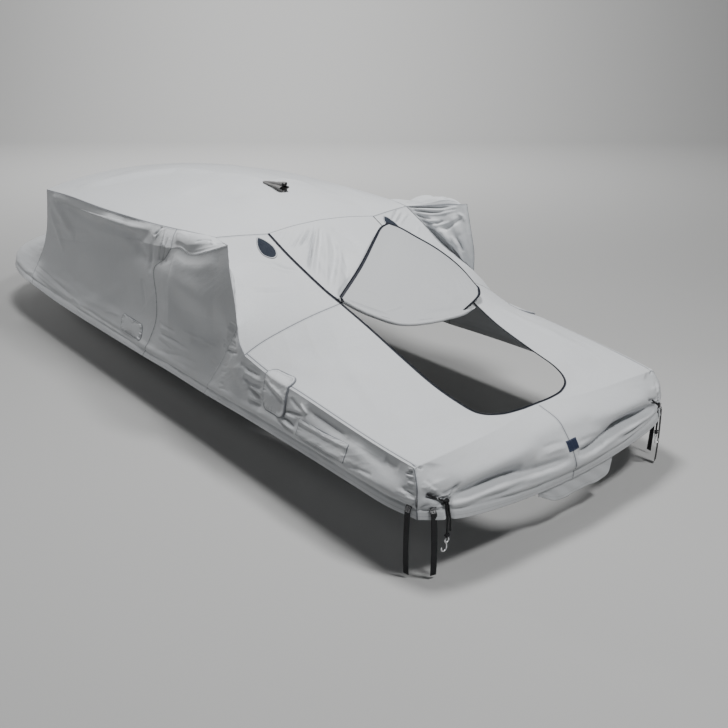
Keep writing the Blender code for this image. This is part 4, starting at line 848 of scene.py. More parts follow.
def wireFinish(tree):
    cloudy = mottle(tree, 120.0, 4.0)
    colour = mixColours(tree, cloudy * 0.4, (0.88, 0.89, 0.90), (0.70, 0.70, 0.69))
    bump = bumped(tree, 0.3, 0.001, cloudy)
    return {"Base Color": colour, "Metallic": 1.0, "Roughness": cloudy * 0.2 + 0.22, "Normal": bump}


darkLooks = {  # colour, roughness, pitch and depth of the weave, and the stitches if there are any
    "zip": ("navyZip", (0.004, 0.006, 0.013), 0.5, 0.0016, 0.0002),
    "mesh": ("navyMesh", (0.008, 0.013, 0.024), 0.7, 0.0030, 0.0005),
    "label": ("navyPatch", (0.010, 0.016, 0.038), 0.6, 0.0012, 0.0001, (0.16, 0.18, 0.24)),
    "webbing": ("blackWebbing", (0.008, 0.008, 0.010), 0.55, 0.0024, 0.0003, (0.70, 0.70, 0.71), 0.0032),
    "cord": ("blackCord", (0.012, 0.012, 0.014), 0.7, 0.0030, 0.0006),
}
finishes = {
    "canvas": finish("silverCanvas", canvasFinish),
    "sock": finish("weatheredCanvas", lambda tree: canvasFinish(tree, {**canvas, **weathered})),
    **{key: finish(name, darkFinish(*looks)) for key, (name, *looks) in darkLooks.items()},
    "wire": finish("chromeWire", wireFinish),
}
print("finishes made")


def lengthsAlong(points, axis):
    strides = np.linalg.norm(np.diff(points, axis=axis), axis=-1)
    pad = [(0, 0), (0, 0)]
    pad[axis] = (1, 0)
    return np.pad(np.cumsum(strides, axis=axis), pad)


def areaOf(points):
    patches = np.cross(np.gradient(points, axis=1), np.gradient(points, axis=0))
    return float(np.linalg.norm(patches, axis=-1)[1:, 1:].sum())


def graded(length, cell):
    # finer beside the seams
    close = np.array((0, 0.0035, 0.0075, 0.0115, 0.0155, 0.0205)) * min(1, length / 0.1)
    count = max(int(round((length - 2 * close[-1]) / cell)), 2) + 1
    inner = np.linspace(close[-1], length - close[-1], count)
    return np.concatenate([close[:-1], inner, (length - close[:-1])[::-1]]) / length


def waver(run, seed, longest):
    pick = np.random.RandomState(seed)
    total = np.zeros_like(run)
    for share in (1.0, 0.61, 0.43, 0.29):
        total += share**0.7 * np.sin(2 * np.pi * run / (longest * share) + pick.rand() * 6.3)
    return total / 2.2


def edgeData(points, kinds, kind):
    # how far each point is from the panel's edges of this kind, and how far along them
    u, v = lengthsAlong(points, 1), lengthsAlong(points, 0)
    rows, columns = points.shape[:2]
    sides = {
        "left": (u, v, np.linspace(0, 1, rows)[:, None]),
        "right": (u[:, -1:] - u, v, np.linspace(0, 1, rows)[:, None]),
        "bottom": (v, u, np.linspace(0, 1, columns)[None]),
        "top": (v[-1:] - v, u, np.linspace(0, 1, columns)[None]),
    }
    away, run = np.full((rows, columns), 1.0), np.zeros((rows, columns))
    for side, (far, along, share) in sides.items():
        for spec in kinds.get(side, ()):
            if spec[0] == kind:
                gap = far - spec[3] if len(spec) > 3 else far
                within = (share >= spec[1]) & (share <= spec[2]) & (np.abs(gap) < np.abs(away))
                away, run = np.where(within, gap, away), np.where(within, along, run)
    return away, run


def added(name, corners, quads, finishName, nodes, uvs=None, layers=None, merge=False):
    data = bpy.data.meshes.new(name)
    corners = corners - underTop
    data.vertices.add(len(corners))
    data.vertices.foreach_set("co", corners.ravel())
    data.loops.add(quads.size)
    data.loops.foreach_set("vertex_index", quads.ravel())
    data.polygons.add(len(quads))
    data.polygons.foreach_set("loop_start", np.arange(0, quads.size, 4))
    data.update(calc_edges=True)
    data.polygons.foreach_set("use_smooth", np.ones(len(quads), bool))
    if uvs is not None:
        data.uv_layers.new(name="cloth").uv.foreach_set("vector", uvs[quads.ravel()].ravel())
    for key, values in (layers or {}).items():
        data.attributes.new(key, "FLOAT", "POINT").data.foreach_set("value", values)
    if merge:
        mesh = bmesh.new()
        mesh.from_mesh(data)
        bmesh.ops.remove_doubles(mesh, verts=mesh.verts, dist=2e-6)
        mesh.to_mesh(data)
        mesh.free()
    data.materials.append(finishes[finishName])
    made = bpy.data.objects.new(name, data)
    bpy.context.scene.collection.objects.link(made)
    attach(made, "root")
    if nodes:
        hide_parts(*nodes)
    return made


def gridQuads(index):
    low, high = index[:-1], index[1:]
    return np.stack([low[:, :-1], low[:, 1:], high[:, 1:], high[:, :-1]], -1).reshape(-1, 4)


def shell(name, points, finishName, nodes=(), thick=0.0, layers=None, uv=None, closed=False):
    # a sheet from a grid of points: its face and, where it has thickness, its back and its edge
    rows, columns = points.shape[:2]
    index = np.arange(rows * columns).reshape(rows, columns)
    quads = gridQuads(index)
    corners = points.reshape(-1, 3)
    u, v = uv if uv is not None else (lengthsAlong(points, 1), lengthsAlong(points, 0))
    flat = np.stack([u.ravel(), v.ravel()], -1)
    layers = {key: values.ravel() for key, values in (layers or {}).items()}
    if thick:
        far = rows * columns
        corners = np.vstack([corners, (points - thick * facing(points)).reshape(-1, 3)])
        loops = [index[0], index[-1][::-1]]
        if not closed:
            around = [index[0], index[1:, -1], index[-1, -2::-1], index[-2:0:-1, 0], index[:1, 0]]
            loops = [np.concatenate(around)]
        walls = [np.stack([rim[1:], rim[:-1], rim[:-1] + far, rim[1:] + far], -1) for rim in loops]
        quads = np.vstack([quads, quads[:, ::-1] + far, *walls])
        flat = np.tile(flat, (2, 1))
        layers = {key: np.tile(values, 2) for key, values in layers.items()}
    return added(name, corners, quads, finishName, nodes, flat, layers, merge=closed)


def boxes(name, centres, alongs, asides, ups, sizes, finishName):
    # many small blocks with chamfered tops, such as the teeth of a zip
    signs = np.array([(x * shrink, y * shrink, z) for z, shrink in ((-1, 1), (0.4, 1), (1, 0.7))
                      for x, y in ((-1, -1), (1, -1), (1, 1), (-1, 1))], float)
    faces = [(3, 2, 1, 0), (8, 9, 10, 11)]
    faces += [(k, (k + 1) % 4, (k + 1) % 4 + 4, k + 4) for k in range(4)]
    faces += [(k + 4, (k + 1) % 4 + 4, (k + 1) % 4 + 8, k + 8) for k in range(4)]
    ways = enumerate((alongs, asides, ups))
    shift = sum(signs[None, :, k, None] * sizes[k] * way[:, None] for k, way in ways)
    corners = (centres[:, None] + shift).reshape(-1, 3)
    quads = (np.array(faces)[None] + 12 * np.arange(len(centres))[:, None, None]).reshape(-1, 4)
    made = added(name, corners, quads, finishName, (), np.zeros((len(corners), 2)))
    made.data.polygons.foreach_set("use_smooth", np.zeros(len(quads), bool))
    return made


def declared(points):
    width = float(np.percentile(lengthsAlong(points, 1)[:, -1], 80))
    length = float(np.percentile(lengthsAlong(points, 0)[-1], 80))
    width, length = max(width, 0.012), max(length, 0.012)
    min(areaOf(points), width * length)


clothTris = []  # the panels as they are made, for the small pieces to lie on


def creased(points, lines, fanned, side, onCloth, pick):
    # the ridges and troughs that are listed, and how much of them comes from the narrow ones
    folded, tight = np.zeros(points.shape[:2]), np.zeros(points.shape[:2])
    for forSide, width, height, line in lines:
        if forSide in (side, 0):
            ridge = creaseHeight(points, [onCloth(place) for place in line], width, height)
            folded += ridge
            # the narrow creases also set the painted crease shade
            tight += ridge * (width < 0.016)
    for forSide, count, width, height, four in fanned:
        if forSide in (side, 0):
            first, last, start, end = map(onCloth, four)
            for k in range(count):
                share = (k + 0.35 * pick.rand()) / max(count - 1, 1)
                head, tail = first + share * (last - first), start + share * (end - start)
                tail = head + (0.55 + 0.6 * pick.rand()) * (tail - head)
                wide = width * (0.8 + 0.5 * pick.rand())
                high = height * (0.5 + 0.9 * pick.rand()) * (1 if k % 3 else -0.6)
                folded += creaseHeight(points, [head, tail], wide, high)
    return folded, tight


def doubled(away, height, width, slope):
    return height * np.clip(away / slope, 0, 1) * np.clip((width - away) / 0.004, 0, 1)


def puckered(name, weltAway, weltRun, hemAway, hemRun):
    # the doubled cloth of seams and hem, and how the stitches draw it together
    lift = doubled(weltAway, sewn["weltHeight"], sewn["weltWidth"], 0.0035)
    lift += doubled(hemAway, sewn["hemHeight"], sewn["hemWidth"], 0.004)
    for away, run, seed, reach in ((weltAway, weltRun, 3, 0.034), (hemAway, hemRun, 8, 0.060)):
        strength = sewn["pucker"] * (0.55 + 0.45 * waver(run, seed, 0.7))
        slant = run + 0.35 * away * waver(run, seed + 4, 0.5)
        near = np.exp(-((away / reach) ** 1.5)) * (away < 0.5) * np.clip(away / 0.008, 0, 1)
        lift += strength * waver(slant, seed + len(name), 0.062) * near
    return lift


def crumpled(u, v, side, crumple):
    lift = np.zeros(u.shape)
    anyAway = np.minimum.reduce([u, u[:, -1:] - u, v, v[-1:] - v])
    for angle, long, short, height, seed in crumple:
        turned = math.radians(180 - angle if side > 0 else angle)
        x = (u * math.cos(turned) + v * math.sin(turned)) / long
        y = (-u * math.sin(turned) + v * math.cos(turned)) / short
        ridge = (1 - np.abs(lattice(x + 0.35 * lattice(x * 1.3, y * 0.7, seed + 5), y, seed))) ** 2
        patchy = np.clip(0.5 + lattice(u / 0.5 + 3, v / 0.5, seed + 9), 0, 1)
        lift += height * (ridge - 0.4) * patchy * np.clip(anyAway / 0.04, 0, 1)
    return lift


def pressed(points, cords):
    # the cloth gives way under the cords
    normal = facing(points).reshape(-1, 3)
    flat = points.reshape(-1, 3)
    for route, radius in cords:
        depth = np.zeros(len(flat))
        for centre, r in zip(route, radius):
            gap = centre - flat
            out = (gap * normal).sum(1)
            aside = np.sqrt(np.maximum((gap**2).sum(1) - out**2, 0))
            fade = np.clip((4.5 * r - aside) / (3.2 * r), 0, 1)
            depth = np.maximum(depth, np.maximum(r + 0.0006 - out, 0) * fade * (np.abs(out) < 0.06))
        flat = flat - np.minimum(depth, 0.02)[:, None] * normal
    return flat.reshape(points.shape)


def panel(name, grid, nodes, kinds, cell=0.009, held="hung", side=0, lines=(), fanned=(), crumple=(),
          cords=(), turnedUp=0.0):
    u, v = lengthsAlong(grid, 1), lengthsAlong(grid, 0)
    us, vs = graded(u[:, -1].mean(), np.max(cell)), graded(v[-1].mean(), np.min(cell))
    points = spot(grid, us[None], vs[:, None])
    normal = facing(points)
    u, v = lengthsAlong(points, 1), lengthsAlong(points, 0)
    area = areaOf(points)
    weltGap, weltRun = edgeData(points, kinds, "welt")
    hemAway, hemRun = edgeData(points, kinds, "hem")
    hemmed = hemAway[0, 0] < 0.5
    ends = [u, u[:, -1:] - u, v[-1:] - v] + ([] if hemmed else [v])
    inside = eased(np.clip(np.minimum.reduce(ends) / 0.016, 0, 1))

    def onCloth(place):
        return spot(grid, np.float64(1 - place[0] if side > 0 else place[0]), np.float64(place[1]))

    folded, tight = creased(points, lines, fanned, side, onCloth, np.random.RandomState(len(name) + 11))
    drawn = sum(height * bell(hemAway, middle, width) for height, middle, width in gather.values())
    drawn = drawn * (0.75 + 0.35 * waver(hemRun, 5, 0.7))
    lift = puckered(name, np.abs(weltGap), weltRun, hemAway, hemRun) + drawn
    lift += crumpled(u, v, side, crumple) + folded * inside
    points = points + lift[..., None] * normal
    if cords:
        points = pressed(points, cords)
    # painted shade in the narrow creases and in the trough the hem's drawstring pulls
    hollow = np.clip(-tight * inside / 0.012, 0, 1) + 0.5 * np.clip(-drawn / 0.007, 0, 1)
    inner = np.clip((turnedUp - vs[:, None]) / 0.02, 0, 1) + np.zeros(points.shape[:2])
    layers = {"weltAway": weltGap, "weltRun": weltRun, "hemAway": hemAway, "hemRun": hemRun,
              "hollow": hollow, "inner": inner}
    clothTris.append((name, points))
    uv = (u, v)
    if hemmed:  # the hem is turned up behind
        normal = facing(points)
        behind = [points[row] - under * normal[row] for row, under in ((6, 0.0030), (0, 0.0024), (0, 0.0008))]
        points = np.concatenate([np.array(behind), points])
        layers = {key: np.concatenate([values[[6, 0, 0]], values]) for key, values in layers.items()}
        uv = (np.concatenate([u[:3], u]), np.concatenate([v[:3] - 0.03, v]))
    made = shell(name, points, "canvas", nodes, 0.0, layers, uv)


everyWelt = {side: (("welt", 0, 1),) for side in ("left", "right", "bottom", "top")}


def edges(**changed):
    # each kind holds for a whole side, unless its shares of the side are given
    spelt = {side: kind if isinstance(kind, tuple) else ((kind, 0, 1),) for side, kind in changed.items()}
    return {**everyWelt, **spelt}


# crumples are given by angle, length, width, height and seed
panelLooks = {
    "frontWall": {"kinds": edges(bottom="hem"),
                  "crumple": ((35, 0.55, 0.20, 0.0030, 1), (60, 0.22, 0.07, 0.0009, 2))},
    "legPanel": {"kinds": edges(bottom="hem", right="plain"),
                 "crumple": ((20, 0.5, 0.14, 0.0018, 3), (50, 0.2, 0.06, 0.0007, 21))},
    "earTop": {"kinds": edges(bottom="plain"), "crumple": ((10, 0.3, 0.08, 0.004, 4),)},
    "earBack": {"kinds": edges(bottom="plain"), "crumple": ((-50, 0.4, 0.08, 0.006, 5),)},
    "slopePanel": {"kinds": edges(right="plain"), "crumple": ((80, 0.4, 0.10, 0.0025, 6),)},
    "skirt": {"kinds": edges(bottom="hem", top="plain"),
              "crumple": ((25, 0.3, 0.08, 0.0035, 7), (60, 0.12, 0.05, 0.002, 22))},
}
nodeOf = {"frontWall": "front_wall", "legPanel": "leg_panel", "earTop": "ear_top", "earBack": "ear_back",
          "slopePanel": "slope_panel", "skirt": "skirt"}
cells = {  # the starboard panels are seen from further off
    ("frontWall", 1): 0.014,
    ("legPanel", 1): 0.013,
    ("skirt", 1): 0.013,
    ("skirt", -1): (0.008, 0.0045),
}
for word, side in bothSides:
    grids = halfPanels(side)
    deck = np.vstack([grids.pop("sternPanel"), grids.pop("deckPanel")[1:]])
    roll = 5 / 19  # share of its rows up to the turn onto the deck
    outer, inner = ("right", "left") if side > 0 else ("left", "right")
    kinds = edges(**{"bottom": "hem", outer: (("welt", 0, roll), ("welt", roll, 1, 0.020)),
                     inner: (("welt", 0, roll), ("plain", roll, 1))})
    pressing = []
    for key, route in cordRoutes.items():
        if key.startswith(word):
            path = smoothLine(route, 60)
            knot, knotRadius = (route[5], 0.010) if "Rope" in key else (route[0], 0.0045)
            radius = np.where(np.linalg.norm(path - np.array(knot), axis=1) < 0.012, knotRadius, 0.0045)
            pressing.append((path, radius))
    panel(f"{word}DeckPanel", deck, [f"{word}_deck_panel"], kinds, side=side, lines=creases["deckPanel"],
          fanned=fans["deckPanel"], cords=pressing,
          crumple=((70, 0.7, 0.12, 0.0022, 11), (30, 0.15, 0.06, 0.0012, 23)))
    for name, grid in grids.items():
        looks = dict(panelLooks[name])
        if side > 0:
            kinds = looks["kinds"]
            looks["kinds"] = {**kinds, "left": kinds["right"], "right": kinds["left"]}
        panel(f"{word}{name[0].upper()}{name[1:]}", grid, [f"{word}_{nodeOf[name]}"], side=side,
              cell=cells.get((name, side), 0.008), lines=creases.get(name, ()), fanned=fans.get(name, ()),
              **looks)
print("side panels made")

middle = middlePanels()
panel("roofPanel", middle["roof"], ["roof"], edges(), cell=0.014, held="stretched", lines=creases["roof"],
      crumple=((80, 0.8, 0.3, 0.002, 12),))
panel("bowPanel", middle["bowPanel"], ["bow_panel"], edges(bottom="hem", top="plain"), cell=0.015,
      crumple=((60, 0.6, 0.2, 0.006, 13), (20, 0.25, 0.1, 0.004, 24)))
under, bend, back = hatchGrid()
hatch = np.vstack([back[::-1], bend[::-1], under])
lastHatchRow = len(hatch) - 1


def hatchShares(places, start, end):
    # creases are given on the part that hangs down or on the part turned up, not on the whole hatch
    return [(u, start + (end - start) * v) for u, v in places]


downShare = (len(back) + len(bend)) / lastHatchRow
backShare = (len(back) - 1) / lastHatchRow
hatchLines = [(*row, hatchShares(line, downShare, 1)) for *row, line in creases["hatchDown"]]
hatchLines += [(*row, hatchShares(line, backShare, 0)) for *row, line in creases["hatchBack"]]
hatchFans = [(*row, hatchShares(four, downShare, 1)) for *row, four in fans["hatchDown"]]
panel("hatchPanel", hatch, ["hatch"], {"top": (("plain", 0, 1),)}, cell=0.008, held="folded",
      turnedUp=(len(back) + fine) / lastHatchRow, lines=hatchLines, fanned=hatchFans,
      crumple=((75, 0.5, 0.12, 0.0020, 14), (40, 0.2, 0.07, 0.0010, 25)))
print("middle panels made")


def treeOf(skip=()):
    corners, faces, base = [], [], 0
    for name, points in clothTris:
        if name not in skip:
            rows, columns = points.shape[:2]
            index = np.arange(rows * columns).reshape(rows, columns) + base
            corners += points.reshape(-1, 3).tolist()
            faces += gridQuads(index).tolist()
            base += rows * columns
    return BVHTree.FromPolygons(corners, faces)


allCloth = treeOf()
underHatch = treeOf(("hatchPanel",))
print("cloth ready for the small pieces")


def cast(tree, start, direction):
    place, normal, _, _ = tree.ray_cast(Vector(start), Vector(direction))
    return (None, None) if place is None else (np.array(place), np.array(normal))


def laidOn(tree, origin, first, second, shape, lift):
    # flat places (along first, along second) dropped on the cloth, each with its own height above it
    outward = np.cross(first, second)
    laid = np.empty(shape.shape[:2] + (3,))
    for j, row in enumerate(shape):
        for i, (x, y) in enumerate(row):
            start = origin + x * first + y * second + 0.6 * outward
            laid[j, i], _ = cast(tree, start, -outward)
    soft = laid.copy()
    for _ in range(3):  # evens out what it lies over
        middle = soft[1:-1, 1:-1]
        nearby = soft[:-2, 1:-1] + soft[2:, 1:-1] + soft[1:-1, :-2] + soft[1:-1, 2:]
        soft[1:-1, 1:-1] = (nearby + 2 * middle) / 6
    height = np.maximum((soft - laid) @ outward, 0)
    normals = facing(soft)
    if (normals @ outward).mean() < 0:
        normals = -normals
    return laid + height[..., None] * outward + np.asarray(lift)[..., None] * normals


def starGrid(reachAt, count, aspect):
    # a square grid drawn out to a rounded outline, with how far each place is from that outline
    a, b = np.meshgrid(np.linspace(-1, 1, count), np.linspace(-1, 1, count))
    share = np.maximum(np.abs(a), np.abs(b))
    turn = np.arctan2(b * aspect, a)
    reach = reachAt(turn)
    shape = np.stack([share * reach * np.cos(turn), share * reach * np.sin(turn)], -1)
    return shape, (1 - share) * reach, turn * reach.mean(), a, b


def roundedReach(halfLong, halfHigh, radius):
    turns, reaches = [], []
    for corner, (x, y) in enumerate(((1, 1), (-1, 1), (-1, -1), (1, -1))):
        for step in range(17):
            angle = math.pi / 2 * (corner + step / 16)
            px = x * (halfLong - radius) + radius * math.cos(angle)
            py = y * (halfHigh - radius) + radius * math.sin(angle)
            turns.append(math.atan2(py, px))
            reaches.append(math.hypot(px, py))
    order = np.argsort(turns)
    turns, reaches = np.array(turns)[order], np.array(reaches)[order]

    def reachAt(turn):
        # between two places of the outline the edge is straight
        k = np.searchsorted(turns, turn) % len(turns)
        x1, y1 = reaches[k - 1] * np.cos(turns[k - 1]), reaches[k - 1] * np.sin(turns[k - 1])
        x2, y2 = reaches[k] * np.cos(turns[k]), reaches[k] * np.sin(turns[k])
        cross = x1 * (y2 - y1) - y1 * (x2 - x1)
        slant = np.cos(turn) * (y2 - y1) - np.sin(turn) * (x2 - x1)
        return cross / np.where(np.abs(slant) < 1e-9, 1e-9, slant)
    return reachAt


# the last layer darkens the cloth colour as painted shade
def seamLayers(away, run, hollow=0.0):
    return {"weltAway": away, "weltRun": run, "hemAway": np.ones_like(away), "hemRun": run,
            "hollow": hollow + 0 * away}


def hemLayers(away, run):
    return {"weltAway": np.ones_like(away), "weltRun": run, "hemAway": away, "hemRun": run,
            "hollow": 0 * away}


# "at" is forward and up, "half" is length and height, "lean" tips it in over the deck
sewnPatches = {
    "cleatPatch": {"at": (3.700, 0.235), "half": (0.215, 0.072), "corner": 0.045, "lean": 0.0,
                   "crown": 0.012, "pleats": 0.0085, "node": "cleat_patch", "on": "front_wall"},
    "flapPocket": {"at": (1.465, 0.346), "half": (0.138, 0.146), "corner": 0.064, "lean": 0.5,
                   "crown": 0.010, "pleats": 0.0028, "node": "flap_pocket", "on": "skirt"},
    "chafePatch": {"at": (0.920, 0.236), "half": (0.252, 0.056), "corner": 0.008, "lean": 0.0,
                   "crown": 0.002, "pleats": 0.0030, "node": "chafe_patch", "on": "skirt"},
}
for word, side in bothSides:
    for key, looks in sewnPatches.items():
        halfLong, halfHigh = looks["half"]
        origin = np.array((side * 1.20, *looks["at"]))
        first = np.array((0.0, side, 0.0))
        second = np.array((-side * math.sin(looks["lean"]), 0.0, math.cos(looks["lean"])))
        outline = roundedReach(halfLong, halfHigh, looks["corner"])
        shape, away, run, a, b = starGrid(outline, 61, halfHigh / halfLong)
        rim = np.clip(away / 0.010, 0, 1)
        wave = waver(run, 17 + len(key), 0.055)
        lift = 0.0012 + looks["crown"] * (1 - np.maximum(np.abs(a), np.abs(b)) ** 2.5) * rim
        lift += looks["pleats"] * np.clip(wave, -0.4, 1) * bell(away, 0.020, 0.022) * rim
        if key == "flapPocket":
            aftEnd = np.clip(-1.4 * side * a - 0.2, 0, 1)
            lift += 0.012 * aftEnd * bell(away, 0.012, 0.020) * np.clip(away / 0.003, 0, 1)
            slanted = b * halfHigh + 0.25 * a * halfLong
            leaf = bell(slanted, 0.020, 0.014) * (1 - a**2)
            lift += (0.009 * leaf - 0.006 * bell(slanted, -0.008, 0.012)) * rim
        if key == "chafePatch":
            height = b * halfHigh
            lift += (0.005 * bell(height, 0.034, 0.010) - 0.002 * bell(height, 0.012, 0.009)) * rim
        laid = laidOn(allCloth, origin, first, second, shape, np.maximum(lift, 0.0010))
        # the pleat troughs round the patch rim get painted shade
        layers = seamLayers(0.6 * away, run, np.clip(-wave, 0, 1) * 0.6 * np.exp(-away / 0.03))
        node = f"{word}_{looks['node']}"
        made = shell(f"{word}{key[0].upper()}{key[1:]}", laid, "canvas", [node], 0.0010, layers)
        declared(laid)

vent = {"out": 0.637, "fore": 2.455, "halfLong": 0.108, "halfWide": 0.066, "hood": 0.014}


def teardropReach(scale):
    turns = np.linspace(0.002, 2 * math.pi - 0.002, 240)
    x = vent["halfLong"] * np.cos(turns)
    y = 1.06 * vent["halfWide"] * np.sin(turns) * np.sin(turns / 2) ** 0.5
    angles, reaches = np.arctan2(y, x), np.hypot(x, y)
    order = np.argsort(angles)
    return lambda turn: scale * np.interp(turn, angles[order], reaches[order], period=2 * math.pi)


for word, side in bothSides:
    origin = np.array((side * vent["out"], vent["fore"], 1.05))
    first, second = np.array((0.0, 1.0, 0.0)), np.array((-1.0, 0.0, 0.0))
    reachAt = teardropReach(1.0)
    around = np.linspace(-math.pi, math.pi, 97)[None]
    share = np.linspace(1.04, 0.93, 7)[:, None]
    reach = reachAt(around) * share
    ring = np.stack([reach * np.cos(around), reach * np.sin(around)], -1)
    rise = 0.001 + 0.0045 * np.sin(np.linspace(0.1, math.pi - 0.1, 7))
    lift = np.broadcast_to(rise[:, None], ring.shape[:2])
    laid = laidOn(underHatch, origin, first, second, ring, lift)
    run = np.broadcast_to(around * 0.09, lift.shape)
    away = np.broadcast_to(np.linspace(0.0005, 0.017, 7)[:, None], lift.shape)
    layers = seamLayers(away[::-1], run[::-1])
    made = shell(f"{word}VentRim", laid[::-1], "canvas", [f"{word}_vent_rim"], 0.001, layers, closed=True)
    declared(laid)
    shape, away, run, a, b = starGrid(teardropReach(0.96), 41, 0.6)
    hood = vent["hood"] * (1 - np.maximum(np.abs(a), np.abs(b)) ** 2) + 0.0012
    hood += 0.0015 * waver(run, 5, 0.03) * np.clip(away / 0.02, 0, 1)
    laid = laidOn(underHatch, origin, first, second, shape, hood)
    made = shell(f"{word}Vent", laid, "mesh", [f"{word}_vent"], 0.0)
    declared(laid)

label = {"across": 0.016, "up": 0.163, "halfLong": 0.050, "halfWide": 0.031}
a, b = np.meshgrid(np.linspace(-1, 1, 31), np.linspace(-1, 1, 21))
shape = np.stack([a * label["halfLong"], b * label["halfWide"]], -1)
toEnd, toSide = (1 - np.abs(a)) * label["halfLong"], (1 - np.abs(b)) * label["halfWide"]
away = np.minimum(toEnd, toSide)
run = np.where(toEnd < toSide, shape[..., 1], shape[..., 0])
origin = np.array((label["across"], 0.0, label["up"]))
lift = 0.0022 + 0.0006 * waver(run, 2, 0.03)
laid = laidOn(allCloth, origin, np.array((1.0, 0, 0)), np.array((0, 0, 1.0)), shape, lift)
layers = {"weltAway": away, "weltRun": run}
made = shell("labelPatch", laid, "label", ["label_patch"], 0.0012, layers)
declared(laid)

sock = {"across": 0.04, "tip": 3.51, "mouth": 3.18, "tipRadius": 0.009, "mouthRadius": 0.040, "pleats": 6}
sockShares = np.linspace(-0.02, 1, 34)  # a little past the tip, where it closes
turn = np.linspace(-0.5 * math.pi, 1.5 * math.pi, 71)
rings = []
for share in sockShares:
    fore = sock["tip"] + (sock["mouth"] - sock["tip"]) * share
    radius = sock["tipRadius"] + (sock["mouthRadius"] - sock["tipRadius"]) * share
    radius *= 0.25 if share < 0 else 1
    ground, _ = cast(allCloth, (sock["across"], fore, 2.0), (0, 0, -1))
    pleats = 0.26 * max(share, 0) ** 0.5 * np.cos(sock["pleats"] * turn)
    wide = radius * (1 + pleats + 0.05 * np.sin(3 * turn + 9 * share) + 0.03 * math.sin(31 * share))
    middleUp = (sock["tipRadius"] if share < 0 else radius) + 0.0015
    rings.append(ground + np.stack([-wide * np.cos(turn), 0 * turn, wide * np.sin(turn) + middleUp], -1))
sockPoints = np.array(rings)
away = (1 - sockShares)[:, None] * 0.33 + np.zeros(len(turn))
layers = hemLayers(away, turn * 0.03 + 0 * away)
made = shell("lightSock", sockPoints, "sock", ["light_sock"], 0.0012, layers)
areaOf(sockPoints)
print("sewn pieces made")


def alongLine(line, pitch):
    points = evenLine(line, max(int(np.linalg.norm(np.diff(line, axis=0), axis=1).sum() / pitch), 4))
    ahead = unit(np.gradient(points, axis=0))
    return points, ahead


def zipTape(name, line, toward, width, node, rise, teethAt, pitch=0.0062, over=None):
    # a tape beside a cloth edge with a raised coil of teeth along one line of it
    shares = np.linspace(0, 1, 9)[:, None, None]
    up = unit(np.cross(np.gradient(line, axis=0), toward))
    if up[:, 2].mean() < 0:
        up = -up
    across = np.linspace(0, width, 9)[:, None, None]
    run = np.cumsum(np.linalg.norm(np.gradient(line, axis=0), axis=1))
    ripple = 0.0008 * waver(run, 4, 0.05)[None, :, None]
    coil = 0.0018 * bell(across, teethAt * width, 0.0022)
    points = line[None] + across * toward[None] + (rise + ripple * shares + coil) * up[None]
    if over is not None:  # kept clear of the cloth under it
        for row in points:
            for point in row:
                under, _ = cast(over, point + np.array((0, 0, 0.3)), (0, 0, -1))
                if under is not None:
                    point[2] = max(point[2], under[2] + 0.0028)
        heights = points[..., 2]
        for _ in range(6):
            heights[:, 1:-1] = np.maximum(heights[:, 1:-1], (heights[:, :-2] + heights[:, 2:]) / 2)
    if over is not None:
        teethLine = points[int(round(teethAt * 8))] + 0.0012 * up
    else:
        teethLine = line + teethAt * width * toward + (rise + 0.0018) * up
    if (facing(points) * up[None]).sum(-1).mean() < 0:
        points = points[::-1]
    shell(name, points, "zip", [node], 0.0012)
    spots, ahead = alongLine(teethLine, pitch)
    lineRun = np.linspace(0, 1, len(line))
    spotRun = np.linspace(0, 1, len(spots))
    ups = unit(np.column_stack([np.interp(spotRun, lineRun, up[:, k]) for k in range(3)]))
    ups = unit(ups - (ups * ahead).sum(1)[:, None] * ahead)
    boxes(f"{name}Teeth", spots, ahead, np.cross(ahead, ups), ups, (0.0018, 0.0030, 0.0014), "zip")


def puller(name, at, ahead, up):
    # a slider with its pull tab
    at, ahead, up = np.asarray(at), unit(np.asarray(ahead)), unit(np.asarray(up))
    up = unit(up - (up @ ahead) * ahead)
    aside = np.cross(ahead, up)
    turn = np.linspace(0, 2 * math.pi, 25)
    squareX, squareY = (np.sign(wave) * np.abs(wave) ** 0.5 for wave in (np.cos(turn), np.sin(turn)))
    rows = []
    for along, wide, tall in ((-0.011, 0.003, 0.002), (-0.010, 0.005, 0.004), (-0.002, 0.0055, 0.0048),
                              (0.006, 0.0075, 0.0048), (0.009, 0.0070, 0.004), (0.010, 0.004, 0.002)):
        height = 0.003 + tall * squareY[:, None]
        rows.append(at + along * ahead + wide * squareX[:, None] * aside + height * up)
    shell(name, np.array(rows), "zip", (), 0.0, closed=True)
    tab = np.array([[at - (0.006 + 0.005 * j) * ahead + k * 0.0028 * aside + (0.0085 - 0.0006 * j) * up
                     for k in (-1, 0, 1)] for j in range(8)])
    if (facing(tab) @ up).mean() < 0:
        tab = tab[:, ::-1]
    shell(f"{name}Tab", tab, "zip", (), 0.0012)


n = steps
down = n["notch"] + n["upright"]
zips = {"width": 0.0235, "rimWidth": 0.015, "flapWidth": 0.027, "rise": 0.0034, "flatRise": 0.0026}
firstShown = 14  # the hatch covers what comes before
closedRows = n["hatchOpenStarboard"] * fine
closedRim = seam("hatchRim", 1, n["deck"])[: closedRows + 1]
zipLines = {
    "port": seam("hatchSide", -1, down),
    "starboard": chain(seam("hatchSide", 1, down)[firstShown:], closedRim),
}
for word, side in bothSides:
    line = zipLines[word]
    toward = np.tile((-side * 1.0, 0.0, 0.0), (len(line), 1))
    zipTape(f"{word}Zip", line - 0.0045 * toward, toward, zips["width"], f"{word}_zip", zips["rise"],
            0.5, 0.0045)
    foot = line[-4] + 0.008 * toward[0] + np.array((0, 0, zips["rise"] + 0.002))
    puller(f"{word}ZipSlider", foot, line[-12] - line[-4], (0, -0.3, 1))

